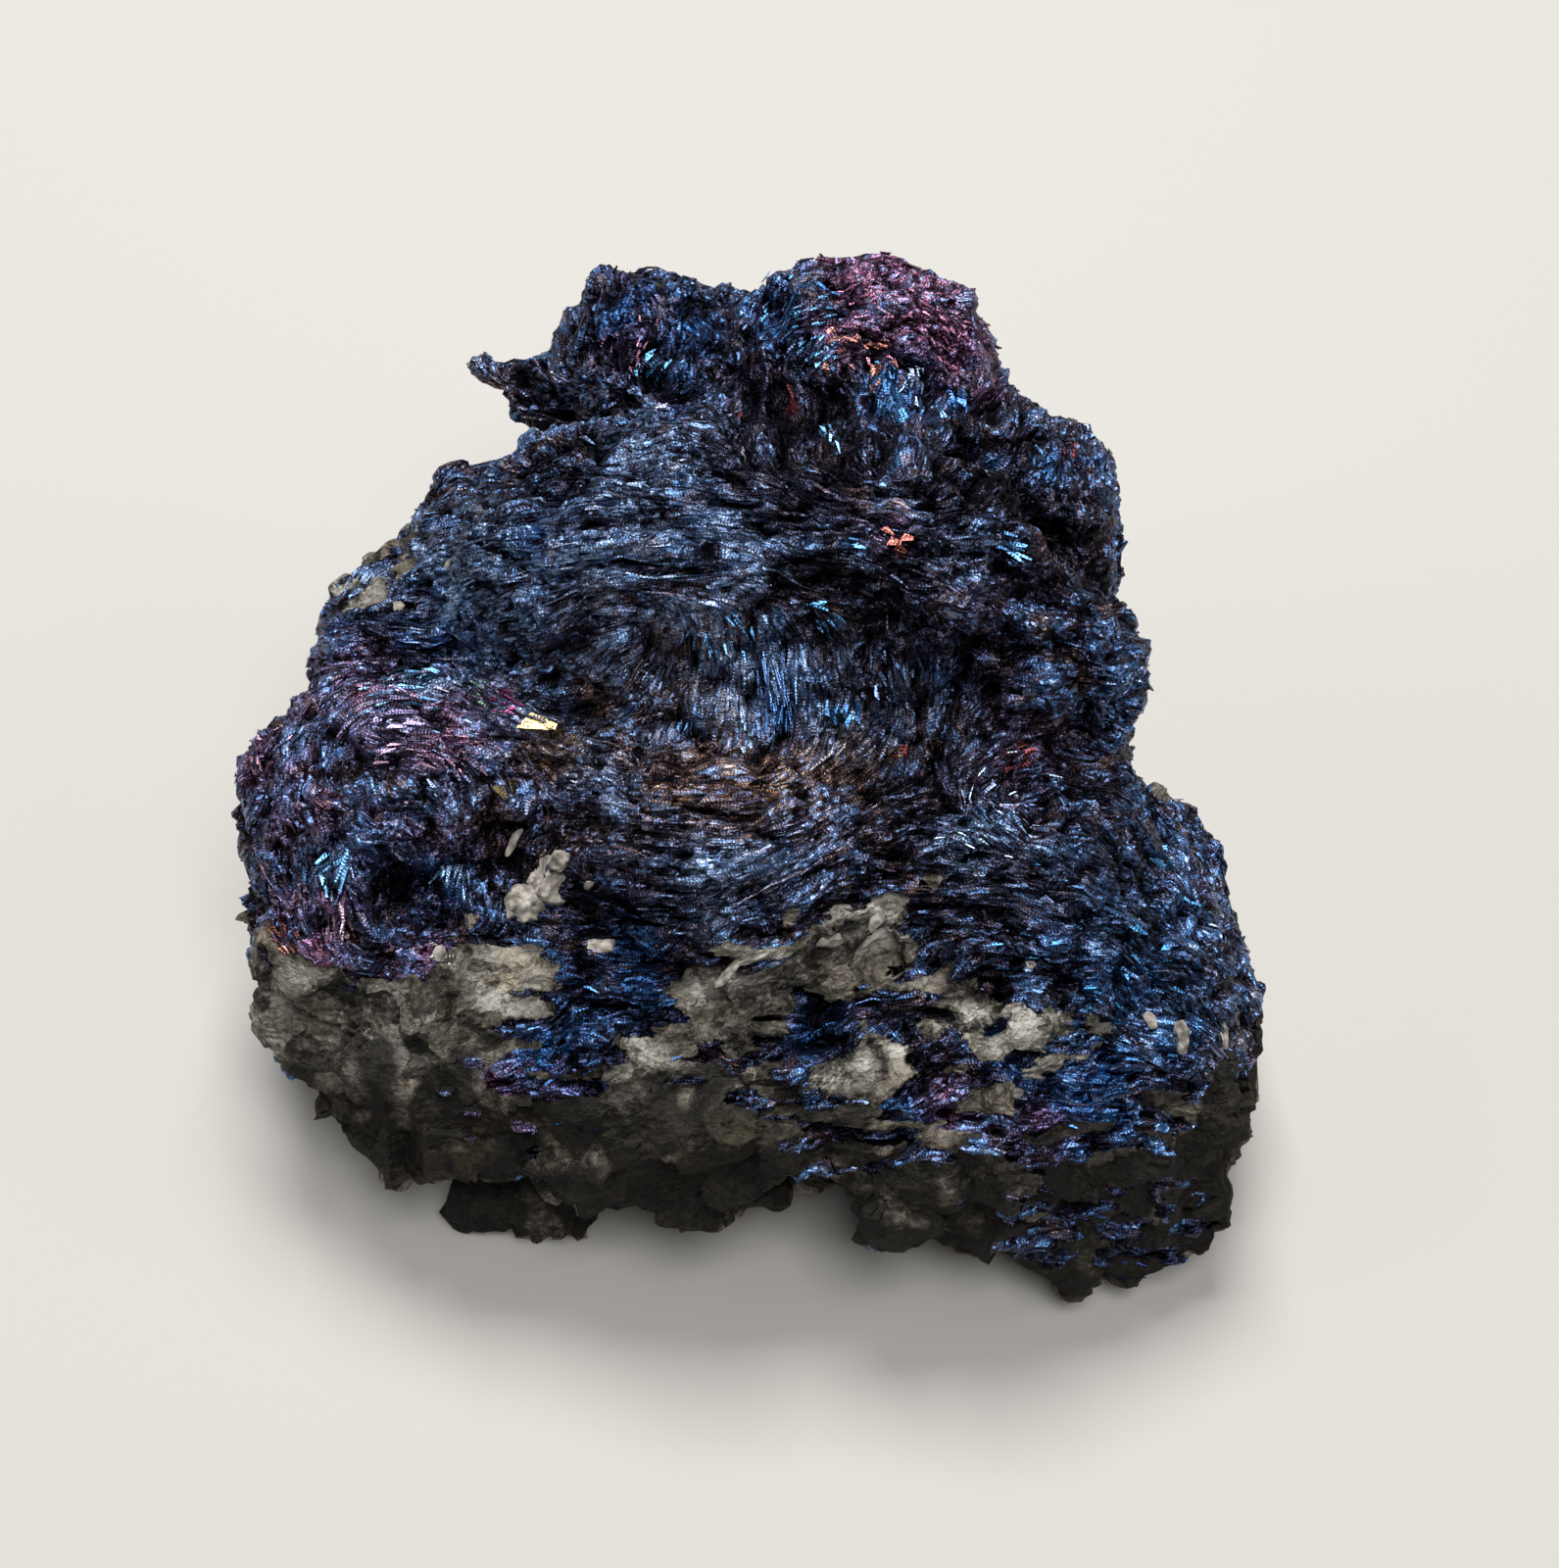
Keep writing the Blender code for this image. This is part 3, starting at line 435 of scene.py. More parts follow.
# Leaves that flash in one colour: x, y and reach in pixels, how many, their length and width in mm, and
# their colour
FLASHES = {
    "lobe_cyan": (912, 425, 13, 12, 1.7, 0.75, "#66a8f0"),
    "lobe_cyan_top": (905, 388, 8, 7, 1.3, 0.65, "#5a98e4"),
    "lobe_cyan_right": (976, 405, 9, 8, 1.4, 0.65, "#5c93e0"),
    "lobe_cyan_low": (950, 420, 8, 5, 1.2, 0.55, "#7ab0f0"),
    "lobe_azure": (838, 345, 16, 26, 0.9, 0.30, "#5c9cd0"),
    "lobe_left_azure": (808, 300, 14, 14, 0.8, 0.26, "#4f93cc"),
    "lobe_left_blue": (786, 330, 14, 16, 0.8, 0.24, "#7e9ad2"),
    "lobe_copper": (852, 350, 11, 10, 0.9, 0.45, "#8f5f56"),
    "lobe_orange": (888, 356, 12, 9, 0.9, 0.45, "#a3675a"),
    "lobe_orange_low": (900, 385, 8, 5, 0.8, 0.4, "#8c5a50"),
    "lobe_rose": (975, 340, 26, 40, 0.6, 0.25, "#b0748e"),
    "lobe_rose_top": (905, 304, 28, 44, 0.6, 0.22, "#9d6680"),
    "lobe_ice": (930, 395, 10, 10, 0.9, 0.28, "#a9c8e8"),
    "throat_red": (810, 420, 7, 9, 2.4, 0.4, "#6a2a30"),
    "throat_orange": (752, 424, 5, 5, 0.9, 0.25, "#b5503c"),
    "throat_blue": (848, 448, 9, 10, 1.0, 0.28, "#6a9cd0"),
    "wall_streak": (793, 690, 10, 34, 2.6, 0.14, "#7ba8ee"),
    "wall_streak_low": (795, 725, 6, 14, 2.0, 0.14, "#5a98ea"),
    "wall_blue_a": (725, 660, 9, 12, 1.3, 0.22, "#6aa7dd"),
    "wall_blue_b": (755, 640, 8, 10, 1.2, 0.24, "#5c9ad6"),
    "wall_blue_c": (668, 693, 10, 12, 1.4, 0.24, "#8fa6d6"),
    "wall_blue_d": (740, 700, 10, 12, 1.2, 0.2, "#7f9ccc"),
    "wall_spot": (857, 725, 10, 14, 1.0, 0.32, "#62a6f0"),
    "wall_spot_left": (765, 755, 5, 4, 0.9, 0.4, "#a5c6ea"),
    "wall_spot_far": (697, 745, 6, 6, 0.9, 0.3, "#6c9fd4"),
    "wall_right": (905, 690, 16, 20, 1.2, 0.28, "#8098cc"),
    "wall_right_top": (840, 625, 10, 12, 1.0, 0.26, "#5c9fdc"),
    "wall_rust": (920, 762, 5, 4, 1.2, 0.3, "#a2493b"),
    "shoulder_coral": (915, 550, 5, 4, 0.8, 0.6, "#d07a6c"),
    "shoulder_blue": (872, 554, 5, 5, 0.8, 0.35, "#58a0e0"),
    "right_blue": (1030, 562, 8, 9, 1.3, 0.4, "#5f9ae0"),
    "right_blue_top": (1060, 467, 6, 8, 1.3, 0.3, "#6aa8e6"),
    "right_rust": (1090, 462, 5, 3, 1.2, 0.2, "#a34438"),
    "fold_blue": (640, 434, 12, 14, 1.4, 0.3, "#7f98cc"),
    "lobe_left_blue_low": (665, 378, 9, 10, 0.9, 0.28, "#5fa3da"),
    "lobe_left_rose": (640, 350, 12, 12, 0.8, 0.22, "#a07080"),
    "knob_ice": (425, 697, 14, 16, 2.0, 0.45, "#6396c4"),
    "knob_ice_left": (395, 703, 10, 12, 1.3, 0.26, "#78a4c8"),
    "knob_cream": (450, 690, 12, 8, 1.4, 0.26, "#a79fb4"),
    "knob_green": (493, 708, 6, 9, 0.9, 0.24, "#7aa387"),
    "knob_magenta": (512, 716, 8, 12, 0.8, 0.28, "#b04c86"),
    "knob_pink": (412, 742, 18, 20, 1.9, 0.5, "#7d719a"),
    "knob_pink_low": (405, 772, 16, 12, 1.1, 0.28, "#93778c"),
    "knob_rose": (470, 760, 14, 14, 0.9, 0.22, "#9a6c80"),
    "knob_gold": (547, 739, 3, 1, 2.6, 1.5, "#f0cc80"),
    "knob_gold_low": (512, 802, 5, 2, 1.7, 0.9, "#6f5f40"),
    "knob_blue_low": (455, 752, 16, 14, 0.8, 0.26, "#83a4d6"),
    "knob_edge_pink": (262, 775, 12, 16, 0.8, 0.24, "#a67c8c"),
    "pit_blue": (337, 885, 8, 14, 2.0, 0.42, "#6aa4dc"),
    "pit_blue_low": (350, 905, 8, 10, 1.4, 0.26, "#a4b6e4"),
    "pit_pink": (352, 940, 9, 14, 1.3, 0.24, "#c0a4b0"),
    "pit_ice": (462, 895, 10, 14, 1.2, 0.24, "#7fa3c8"),
    "foot_copper": (276, 940, 9, 18, 0.8, 0.26, "#b0705c"),
    "foot_copper_low": (296, 958, 8, 12, 0.8, 0.26, "#a0645a"),
    "foot_cream": (452, 975, 6, 6, 0.8, 0.28, "#c8bcb8"),
    "pillar_rust": (1040, 770, 8, 8, 1.0, 0.3, "#7e3c34"),
    "pillar_blue": (1130, 700, 12, 12, 0.9, 0.24, "#7fa6da"),
    "spray_ice": (1000, 835, 26, 30, 0.9, 0.14, "#a3bcd6"),
    "flank_cyan": (1187, 881, 6, 8, 1.1, 0.6, "#66b4f4"),
    "flank_cyan_low": (1213, 922, 6, 8, 0.8, 0.3, "#5fadee"),
    "slope_blue": (1170, 1000, 44, 20, 0.8, 0.32, "#3f86c0"),
    "slope_blue_left": (1100, 960, 44, 16, 0.8, 0.26, "#4a86bc"),
    "block_blue": (1135, 1135, 26, 8, 0.9, 0.28, "#3c70b0"),
    "streak_blue": (1120, 1250, 34, 8, 0.8, 0.2, "#1d2f5e"),
    "ledge_blue": (600, 1060, 34, 26, 1.0, 0.2, "#3e679c"),
}

# Clay in the gaps: x and y in pixels, length and width in mm, and the turn of its length in degrees
CLAY = {
    "gap_main": (560, 900, 3.2, 4.4, 65), "gap_top": (571, 878, 1.9, 1.7, 20),
    "gap_foot": (534, 924, 2.8, 3.0, 30), "gap_chunk": (523, 860, 2.6, 0.8, 75),
    "lens": (615, 966, 2.6, 1.3, 10), "lens_small": (600, 905, 1.1, 0.6, 60),
    "chip_long": (1204, 1065, 3.4, 1.5, -70), "chip_right": (1245, 1062, 3.2, 1.4, 75),
    "chip_small": (1173, 1040, 1.4, 0.9, -60), "vein_a": (770, 980, 2.6, 0.9, 35),
    "vein_b": (745, 993, 2.8, 1.0, 40), "vein_c": (728, 1012, 2.2, 0.8, 60),
    "seam_a": (893, 938, 2.0, 1.2, 60), "seam_b": (903, 925, 1.4, 0.9, 40),
    "seam_c": (848, 962, 2.0, 1.0, 15), "chip_b": (960, 895, 1.1, 0.7, 50),
    "chip_c": (1050, 985, 0.9, 0.7, 0), "foot_chip": (452, 972, 1.2, 0.9, 80),
    "slope_chip": (410, 617, 0.9, 0.8, 0), "slope_curl": (455, 575, 1.4, 0.5, 60),
}

# Clay lumps: their depth and roughness as shares of the lesser of length and width, how many flat faces
# they have and how far out those lie, the widths in mm of their coarse and fine roughness, and how much
# the fine one counts
CLAY_DEPTH = 0.6
CLAY_ROUGH = 0.11
CLAY_FACES = 9
CLAY_REACH = (0.52, 0.88)
CLAY_LUMPS = 0.9
CLAY_GRIT = 0.35
CLAY_GRIT_SHARE = 0.5

# The flashes' brightness, how their length and width differ, how nearly they turn to the light's mirror
# angle and how far they stray from it, how far they stand out in mm, and how squarely the skin below them
# faces the camera
FLASH_STRENGTH = (0.22, 0.85)
FLASH_LONG = (0.55, 1.25)
FLASH_WIDE = (0.6, 1.2)
FLASH_AIM = (0.2, 0.8)
FLASH_STRAY = 0.08
FLASH_LIFT = (0.06, 0.2)
FLASH_FACING = 0.8

# Lines along the grain in the materials: their width and the step between taps in mm, the taps on each
# side, the part of the noise's range that they show, and their depth in mm. The real lines are finer, and
# these are drawn as coarse as they need to show.
LINE_WIDTH = 0.16
LINE_STEP = 0.22
LINE_TAPS = 1
LINE_RANGE = (0.38, 0.62)
LINE_DEPTH = 0.05

# Leaves packed side by side in the skin's material. The real ones are far thinner, and these are drawn as
# coarse as they need to show: their width in mm, how much of their length the grain takes off where they
# are long and where they are short, how far they lean, and how far from their middle their edge begins and
# ends, as shares of their width
PACKED_WIDTH = 0.25
PACKED_PULL = (-0.88, -0.3)
PACKED_LEAN = 0.85
PACKED_EDGE = (0.5, 0.9)

# The share of short ones, how much it varies and over what width in mm, and how loose the grain is where
# all become short
SHORT_SHARE = (0.22, 0.4)
SHORT_WIDTH = 2.4
SHORT_GRAIN = (1.1, 1.7)

# Bundles of packed leaves: how wide they are and how far they bend in mm, and how far they lean
BUNDLE_WIDTH = 2.3
BUNDLE_BEND = 1.2
BUNDLE_LEAN = 0.28

# The matrix in the skin's material: the width and depth of its grain in mm, and how far its chips and its
# facets lean, as shares of the leaves' and the bundles' lean
ROCK_GRAIN = 0.45
ROCK_DEPTH = 0.3
ROCK_LEAN = 0.7
ROCK_FACET = 2.2

# Widths in mm of the rust in the tarnish, of the blotches of shade, of the matrix's mottling and of the
# clay's grains, and the depth of those grains
RUST_WIDTH = 1.5
BLOTCH_WIDTH = 1.6
MOTTLE_WIDTH = 1.8
CLAY_GRAIN = 0.6
CLAY_GRAIN_DEPTH = 0.1

# The lights: place and size in metres, and power in watts
LIGHTS = {
    "overhead": ((-0.05, 0.3, 0.6), 0.3, 6.0),
    "front": ((0.1, -0.28, 0.76), 0.4, 5.0),
    "left": ((-0.7, -0.05, 0.4), 0.4, 1.1),
    "right": ((0.7, 0.0, 0.5), 0.35, 0.9),
}

# The point in metres that the lights are turned to, the strength of the even light round the specimen, and
# the side of the floor in metres
LIGHTS_AIM = (0, 0, 0.02)
STUDIO_STRENGTH = 0.07
FLOOR_SIDE = 3.0

# The most triangles in one piece of leaves, so that the export keeps them all
TRIANGLES_PER_PIECE = 190000


def linear(colour):
    """An sRGB hex colour as linear red, green, blue and alpha."""
    parts = [int(colour[place : place + 2], 16) / 255 for place in (1, 3, 5)]
    return (*(part / 12.92 if part <= 0.04045 else ((part + 0.055) / 1.055) ** 2.4 for part in parts), 1.0)


def blend(low, high, value):
    """0 below low, 1 above high, and a smooth rise between them."""
    share = np.clip((value - low) / (high - low), 0.0, 1.0)
    return share * share * (3.0 - 2.0 * share)


def unit(vectors):
    """Vectors of length 1 along the given ones."""
    return vectors / np.maximum(np.linalg.norm(vectors, axis=-1, keepdims=True), 1e-9)


def noise_at(points, size, shift=0.0):
    """Smooth noise from about -1 to 1 at each point, with waves of one size in mm. A shift in mm gives
    another pattern of that size."""
    return np.array([noise.noise(Vector(point)) for point in (points + shift) / size])


def near(pixels, place, reach):
    """1 at a place in pixels, less and less away from it: 0.6 at its reach and 0.14 at twice that."""
    away = ((pixels - place) ** 2).sum(axis=1)
    return np.exp(-away / (2.0 * reach**2))


def patches_at(patches, pixels, spread=1.0, together=np.max):
    """Patches of x, y, reach and strength at each pixel: the strongest one there, or their sum."""
    parts = [strength * near(pixels, (x, y), reach * spread) for x, y, reach, strength in patches]
    return together(parts, axis=0)


# Camera

def camera_turn():
    """The camera's own axes as the columns of a matrix."""
    tilt = Euler((math.radians(CAMERA_TILT), 0, 0)).to_matrix()
    return tilt @ Matrix.Rotation(math.radians(CAMERA_ROLL), 3, "Z")


def make_camera():
    lens = bpy.data.cameras.new("camera")
    lens.sensor_width = 36.0
    lens.lens = FOCAL * lens.sensor_width / max(PICTURE)
    lens.clip_start = 0.01
    camera = bpy.data.objects.new("camera", lens)
    bpy.context.scene.collection.objects.link(camera)
    camera.matrix_world = Matrix.Translation(Vector(CAMERA) * MM) @ camera_turn().to_4x4()
    bpy.context.scene.camera = camera


def pixels_of(points):
    """The pixel at which the camera sees each point."""
    seen = (points - np.array(CAMERA)) @ np.array(camera_turn())
    depth = -seen[:, 2]
    across = PICTURE[0] / 2 + FOCAL * seen[:, 0] / depth
    down = PICTURE[1] / 2 - FOCAL * seen[:, 1] / depth
    return np.stack([across, down], axis=1)


# Meshes

def points_of(mesh):
    """A mesh's points in mm."""
    flat = np.empty(len(mesh.vertices) * 3, np.float32)
    mesh.vertices.foreach_get("co", flat)
    return flat.reshape(-1, 3).astype(float) / MM


def normals_of(mesh):
    """Which way a mesh faces at each of its points."""
    flat = np.empty(len(mesh.vertices) * 3, np.float32)
    mesh.vertices.foreach_get("normal", flat)
    return flat.reshape(-1, 3).astype(float)


def put_points(mesh, points):
    """Moves a mesh's points to places in mm."""
    mesh.vertices.foreach_set("co", (points * MM).astype(np.float32).ravel())
    mesh.update()


def ends_of(mesh):
    """Both ends of each edge, each edge given in both directions."""
    flat = np.empty(len(mesh.edges) * 2, np.int32)
    mesh.edges.foreach_get("vertices", flat)
    ends = flat.reshape(-1, 2)
    return np.concatenate([ends, ends[:, ::-1]])


def averaged(values, ends, weights):
    """Each point's weighted mean over itself and its neighbours."""
    count = len(values)
    if values.ndim > 1:
        return np.stack([averaged(column, ends, weights) for column in values.T], axis=1)
    total = np.bincount(ends[:, 0], weights, count)
    around = np.bincount(ends[:, 0], weights * values[ends[:, 1]], count)
    return (around / np.maximum(total, 1e-9) + values) / 2.0


def write_attribute(mesh, name, values):
    """Keeps one number for each point of a mesh, for its material to read."""
    layer = mesh.attributes.new(name, "FLOAT", "POINT")
    layer.data.foreach_set("value", values.astype(np.float32))


def select_only(piece):
    bpy.ops.object.select_all(action="DESELECT")
    bpy.context.view_layer.objects.active = piece
    piece.select_set(True)


def apply_modifier(piece, kind, **settings):
    """Adds a modifier with its settings and turns it into mesh."""
    modifier = piece.modifiers.new(kind.lower(), kind)
    for name, value in settings.items():
        setattr(modifier, name, value)
    select_only(piece)
    bpy.ops.object.modifier_apply(modifier=modifier.name)


# The skin and the grain of its leaves

def skin_of(node):
    """The lump's own form as one skin of even cells."""
    skin = bpy.data.objects.new("covellite_skin", node.data.copy())
    bpy.context.scene.collection.objects.link(skin)
    skin.data.materials.clear()
    select_only(skin)
    bpy.ops.object.mode_set(mode="EDIT")
    bpy.ops.mesh.select_all(action="SELECT")
    bpy.ops.mesh.remove_doubles(threshold=MERGE)
    bpy.ops.object.mode_set(mode="OBJECT")
    apply_modifier(skin, "REMESH", mode="VOXEL", voxel_size=SKIN_CELL * MM)
    return skin


def stroke_turns(pixels):
    """The direction of the nearest strokes at each pixel, as doubled angles, and how near they are."""
    total = np.zeros((len(pixels), 2))
    weight = np.zeros(len(pixels))
    for stroke in GRAIN_STROKES.values():
        for start, end in zip(stroke[:-1], stroke[1:]):
            start, end = np.array(start, float), np.array(end, float)
            count = max(1, round(np.linalg.norm(end - start) / STROKE_SPACING))
            turn = 2.0 * math.atan2(*(end - start)[::-1])
            for step in range(count):
                place = start + (end - start) * (step + 0.5) / count
                share = near(pixels, place, STROKE_REACH)
                total += share[:, None] * np.array([math.cos(turn), math.sin(turn)])
                weight += share
    return total, weight


def band_ways(normals):
    """The grain where no stroke reaches: level bands that follow the leaves' own stacking."""
    return unit(np.cross(normals, np.array(LEAF_POLE)))


def turned(ways, normals, angles):
    """Directions on the surface, turned on it by angles in radians."""
    across = np.cross(normals, ways)
    return ways * np.cos(angles)[:, None] + across * np.sin(angles)[:, None]


def grain_ways(points, normals, facing):
    """The way the leaves run at each point, and how loose the grain is there."""
    pixels = pixels_of(points)
    turns, weight = stroke_turns(pixels)
    angle = np.arctan2(turns[:, 1], turns[:, 0]) / 2.0
    axes = np.array(camera_turn())
    flat = np.cos(angle)[:, None] * axes[:, 0] - np.sin(angle)[:, None] * axes[:, 1]
    ray = unit(points - np.array(CAMERA))
    drawn = unit(np.cross(normals, np.cross(ray, flat)))
    bands = band_ways(normals)
    bands *= np.sign((bands * drawn).sum(axis=1) + 1e-9)[:, None]
    share = (facing * blend(0.0, STROKE_SURE, weight))[:, None]
    ways = unit(drawn * share + bands * (1.0 - share))
    wander = noise_at(points, WANDER_WIDTH) * math.radians(WANDER_TURN)
    wave = noise_at(points, WAVE_WIDTH, shift=50.0) * math.radians(WAVE_TURN)
    loose = np.ones(len(points))
    for x, y, reach, kept in COMBED:
        loose *= 1.0 + (kept - 1.0) * near(pixels, (x, y), reach)
    return turned(ways, normals, (wander + wave) * loose), loose


def along_grain(values, points, ways, ends, passes):
    """Values drawn out along the grain."""
    step = unit(points[ends[:, 1]] - points[ends[:, 0]])
    follows = np.abs((step * ways[ends[:, 0]]).sum(axis=1)) ** GRAIN_FOLLOWS + GRAIN_SPREAD
    for _ in range(passes):
        values = averaged(values, ends, follows)
    return values / values.std()


def matrix_zone(points, pixels, facing):
    """How far each point lies in the matrix: 1 well inside it, 0 well inside covellite."""
    fine = noise_at(points, MATRIX_FINE_PATCH, shift=30.0)
    ragged = noise_at(points, MATRIX_PATCH) + MATRIX_FINE_SHARE * fine
    across, down = np.array(MATRIX_LINE, float).T
    line = np.interp(pixels[:, 0], across, down)
    front = blend(-MATRIX_MERGE, MATRIX_MERGE, pixels[:, 1] - line + ragged * MATRIX_WANDER)
    front = front + patches_at(MIXED_PATCHES, pixels, PATCH_SPREAD, together=np.sum)
    top = MATRIX_BACK_TOP + noise_at(points, MATRIX_BACK_WIDTH) * MATRIX_BACK_WANDER + ragged
    back = 1.0 - blend(-MATRIX_BACK_MERGE, MATRIX_BACK_MERGE, points[:, 2] - top)
    return np.clip(front, 0.0, 1.0) * facing + back * (1.0 - facing)


def patch_share(name, points, pixels, facing):
    """How strongly a finish shows at each point; the dark patches are painted shade and the pale ones partly
    a painted sheen.
    """
    shift = 20.0 * (1 + list(PATCHES).index(name))
    wander = noise_at(points, PATCH_WIDTH, shift)
    hidden = HIDDEN_STRENGTH * blend(*HIDDEN_RIM, noise_at(points, HIDDEN_WIDTH, shift))
    share = patches_at(PATCHES[name], pixels, PATCH_SPREAD) * facing + hidden * (1.0 - facing)
    return np.clip(share * (1.0 + PATCH_WANDER * wander), 0.0, 1.0)


def facets_on(points, width):
    """How far broken facets of one width rise: each is a plane that leans its own way about its middle."""
    middles = np.array([noise.voronoi(Vector(point))[1][0] for point in points / width])
    tilts = unit(np.sin(middles * FACET_SCRAMBLE + np.roll(middles, 1, axis=1) * FACET_TWIST))
    return np.clip(((points - middles * width) * tilts).sum(axis=1), -FACET_LIMIT, FACET_LIMIT)


def ropes_on(points, ways, ends):
    """The ropes of leaves on the skin, from deep grooves below 0 to round crests above."""
    rise = np.zeros(len(points))
    for index, (width, height, passes) in enumerate(ROPES.values()):
        drawn = along_grain(noise_at(points, width, shift=40.0 * index), points, ways, ends, passes)
        rise += height * (ROPE_CREST * np.sqrt(np.abs(drawn)) - ROPE_GROOVE)
    return rise


def hollow_depth(points, pixels, facing):
    """How deep the hollows go in at each point, in mm. Their rims are uneven."""
    uneven = 1.0 + HOLLOW_WANDER * noise_at(points, HOLLOW_WIDTH, shift=110.0)
    return patches_at(HOLLOWS, pixels, 1.0 / uneven) * facing


def softened(points, ends, rocky):
    """The skin's points with the facets of the solid softened, and less so where it is rocky."""
    even = np.ones(len(ends))
    soft = points
    for _ in range(SKIN_SOFTENING):
        soft = averaged(soft, ends, even)
    return soft + (points - soft) * ROCK_SHARP * rocky[:, None]


def short_share(points, loose):
    """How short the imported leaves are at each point, from 0 where they are long to 1."""
    uneven = SHORT_SHARE[0] + SHORT_SHARE[1] * noise_at(points, SHORT_WIDTH, shift=130.0)
    return np.clip(blend(*SHORT_GRAIN, loose) + uneven, 0.0, 1.0)


def relief(points, pixels, ropes, stone):
    """How far the skin rises at each point in mm: ropes and knots on covellite, lumps and grains on the
    matrix, and broken facets on both."""
    leaves = ropes + noise_at(points, KNOT_WIDTH) * KNOT_RISE
    broken = noise_at(points, LUMP_WIDTH) * LUMP_RISE + noise_at(points, GRAIN_WIDTH) * GRAIN_RISE
    broken += ROCK_ROPES * ropes * blend(*ROCK_ROPES_FROM, pixels[:, 0])
    for width, lean, covellite_lean in FACETS.values():
        facets = facets_on(points, width)
        broken += facets * lean
        leaves += facets * covellite_lean
    return leaves * (1.0 - stone) + broken * stone


class Surface:
    """The skin's points with everything that a leaf needs to know where it grows."""

    def __init__(self, skin):
        mesh = skin.data
        points = points_of(mesh)
        pixels = pixels_of(points)
        ends = ends_of(mesh)
        self.facing = self.facing_of(points, normals_of(mesh))
        zone = matrix_zone(points, pixels, self.facing)
        points = softened(points, ends, blend(*ROCK_ZONE, zone))
        put_points(mesh, points)
        normals = normals_of(mesh)
        ways, loose = grain_ways(points, normals, self.facing)
        streaks = noise_at(points, STREAK_WIDTH, shift=90.0)
        streaks = along_grain(streaks, points, ways, ends, STREAK_PASSES)
        mixed = 1.0 - np.abs(zone * 2.0 - 1.0)
        self.stone = blend(*STONE_SHARES, zone + streaks * MIXED_STREAKS * mixed)
        self.ropes = ropes_on(points, ways, ends)
        self.granular = short_share(points, loose)
        hollow = hollow_depth(points, pixels, self.facing)
        rise = relief(points, pixels, self.ropes, self.stone) - hollow
        points = points + normals * rise[:, None]
        self.low = np.array(cad_low) / MM
        self.high = np.array(cad_high) / MM
        put_points(mesh, np.clip(points, self.low, self.high))
        self.points = points_of(mesh)
        self.normals = normals_of(mesh)
        self.pixels = pixels_of(self.points)
        self.ways = unit(ways - self.normals * (ways * self.normals).sum(axis=1)[:, None])
        # The finishes, with painted light and shade among them: crests and hollows, zones painted brighter
        # or darker, and patches of painted shade and sheen
        self.finishes = {
            "stone": self.stone,
            "granular": self.granular,
            # Painted shade: 1 on the ropes' crests, falling to 0 in their grooves and in the hollows, where
            # the materials paint the colour darker
            "crest": blend(*GROOVE_SHADE_HEIGHTS, self.ropes) * (1.0 - blend(*HOLLOW_SHADE_DEPTHS, hollow)),
            "streak": blend(*STREAK_RANGE, streaks),
            # Painted light and shade by zone, with some of covellite's own tone
            "painted_light_and_tone": patches_at(PAINTED_LIGHT_AND_TONE, pixels, together=np.sum) * self.facing,
        }
        for name in PATCHES:
            self.finishes[name] = patch_share(name, points, pixels, self.facing)
        self.tree = kdtree.KDTree(len(self.points))
        for index, point in enumerate(self.points):
            self.tree.insert(point, index)
        self.tree.balance()
        self.write(mesh, np.arange(len(self.points)))
        self.write_grain(mesh)

    def facing_of(self, points, normals):
        """1 where the surface faces the camera, 0 where it faces away."""
        toward = unit(np.array(CAMERA) - points)
        return blend(-FACING_EDGE, FACING_EDGE, (normals * toward).sum(axis=1))

    def nearest(self, places):
        """The skin's nearest point to each place."""
        return np.array([self.tree.find(place)[1] for place in places])

    def write(self, mesh, roots):
        """Keeps the finishes of the given points of the skin, with their painted light and shade, in a
        mesh's own points.
        """
        for name, share in self.finishes.items():
            write_attribute(mesh, name, share[roots])

    def write_grain(self, mesh):
        """Keeps the way of the grain in each corner of the skin, the same way round within a face."""
        corners = np.empty(len(mesh.loops), np.int32)
        mesh.loops.foreach_get("vertex_index", corners)
        starts = np.empty(len(mesh.polygons), np.int32)
        mesh.polygons.foreach_get("loop_start", starts)
        totals = np.empty(len(mesh.polygons), np.int32)
        mesh.polygons.foreach_get("loop_total", totals)
        first = np.repeat(corners[starts], totals)
        ways = self.ways[corners]
        ways = ways * np.sign((ways * self.ways[first]).sum(axis=1) + 1e-9)[:, None]
        layer = mesh.attributes.new("grain", "FLOAT_VECTOR", "CORNER")
        layer.data.foreach_set("vector", ways.astype(np.float32).ravel())

    def density(self):
        """How thickly leaves stand at each point."""
        away = AWAY + (1.0 - AWAY) * self.facing
        under = 1.0 - (1.0 - UNDERNEATH) * blend(*TURNS_DOWN, -self.normals[:, 2])
        crests = IN_GROOVES + (1.0 - IN_GROOVES) * blend(*GROOVE_ENDS, self.ropes)
        return away * under * (1.0 - self.stone) ** 2 * crests

    def plate_density(self):
        """How thickly small plates lie at each point."""
        thick = patches_at(PLATE_PATCHES, self.pixels, PLATE_SPREAD) * self.facing
        return self.density() * np.maximum(thick, PLATES_ELSEWHERE)


# Leaves and plates

def template():
    """The mesh of a new primitive that has been shaped, as points and triangles. The object goes."""
    bpy.ops.mesh.select_all(action="SELECT")
    bpy.ops.mesh.quads_convert_to_tris()
    bpy.ops.mesh.normals_make_consistent(inside=False)
    bpy.ops.object.mode_set(mode="OBJECT")
    made = bpy.context.object
    points = points_of(made.data) * MM
    corners = np.empty(len(made.data.polygons) * 3, np.int32)
    made.data.polygons.foreach_get("vertices", corners)
    bpy.data.objects.remove(made)
    return points, corners.reshape(-1, 3)


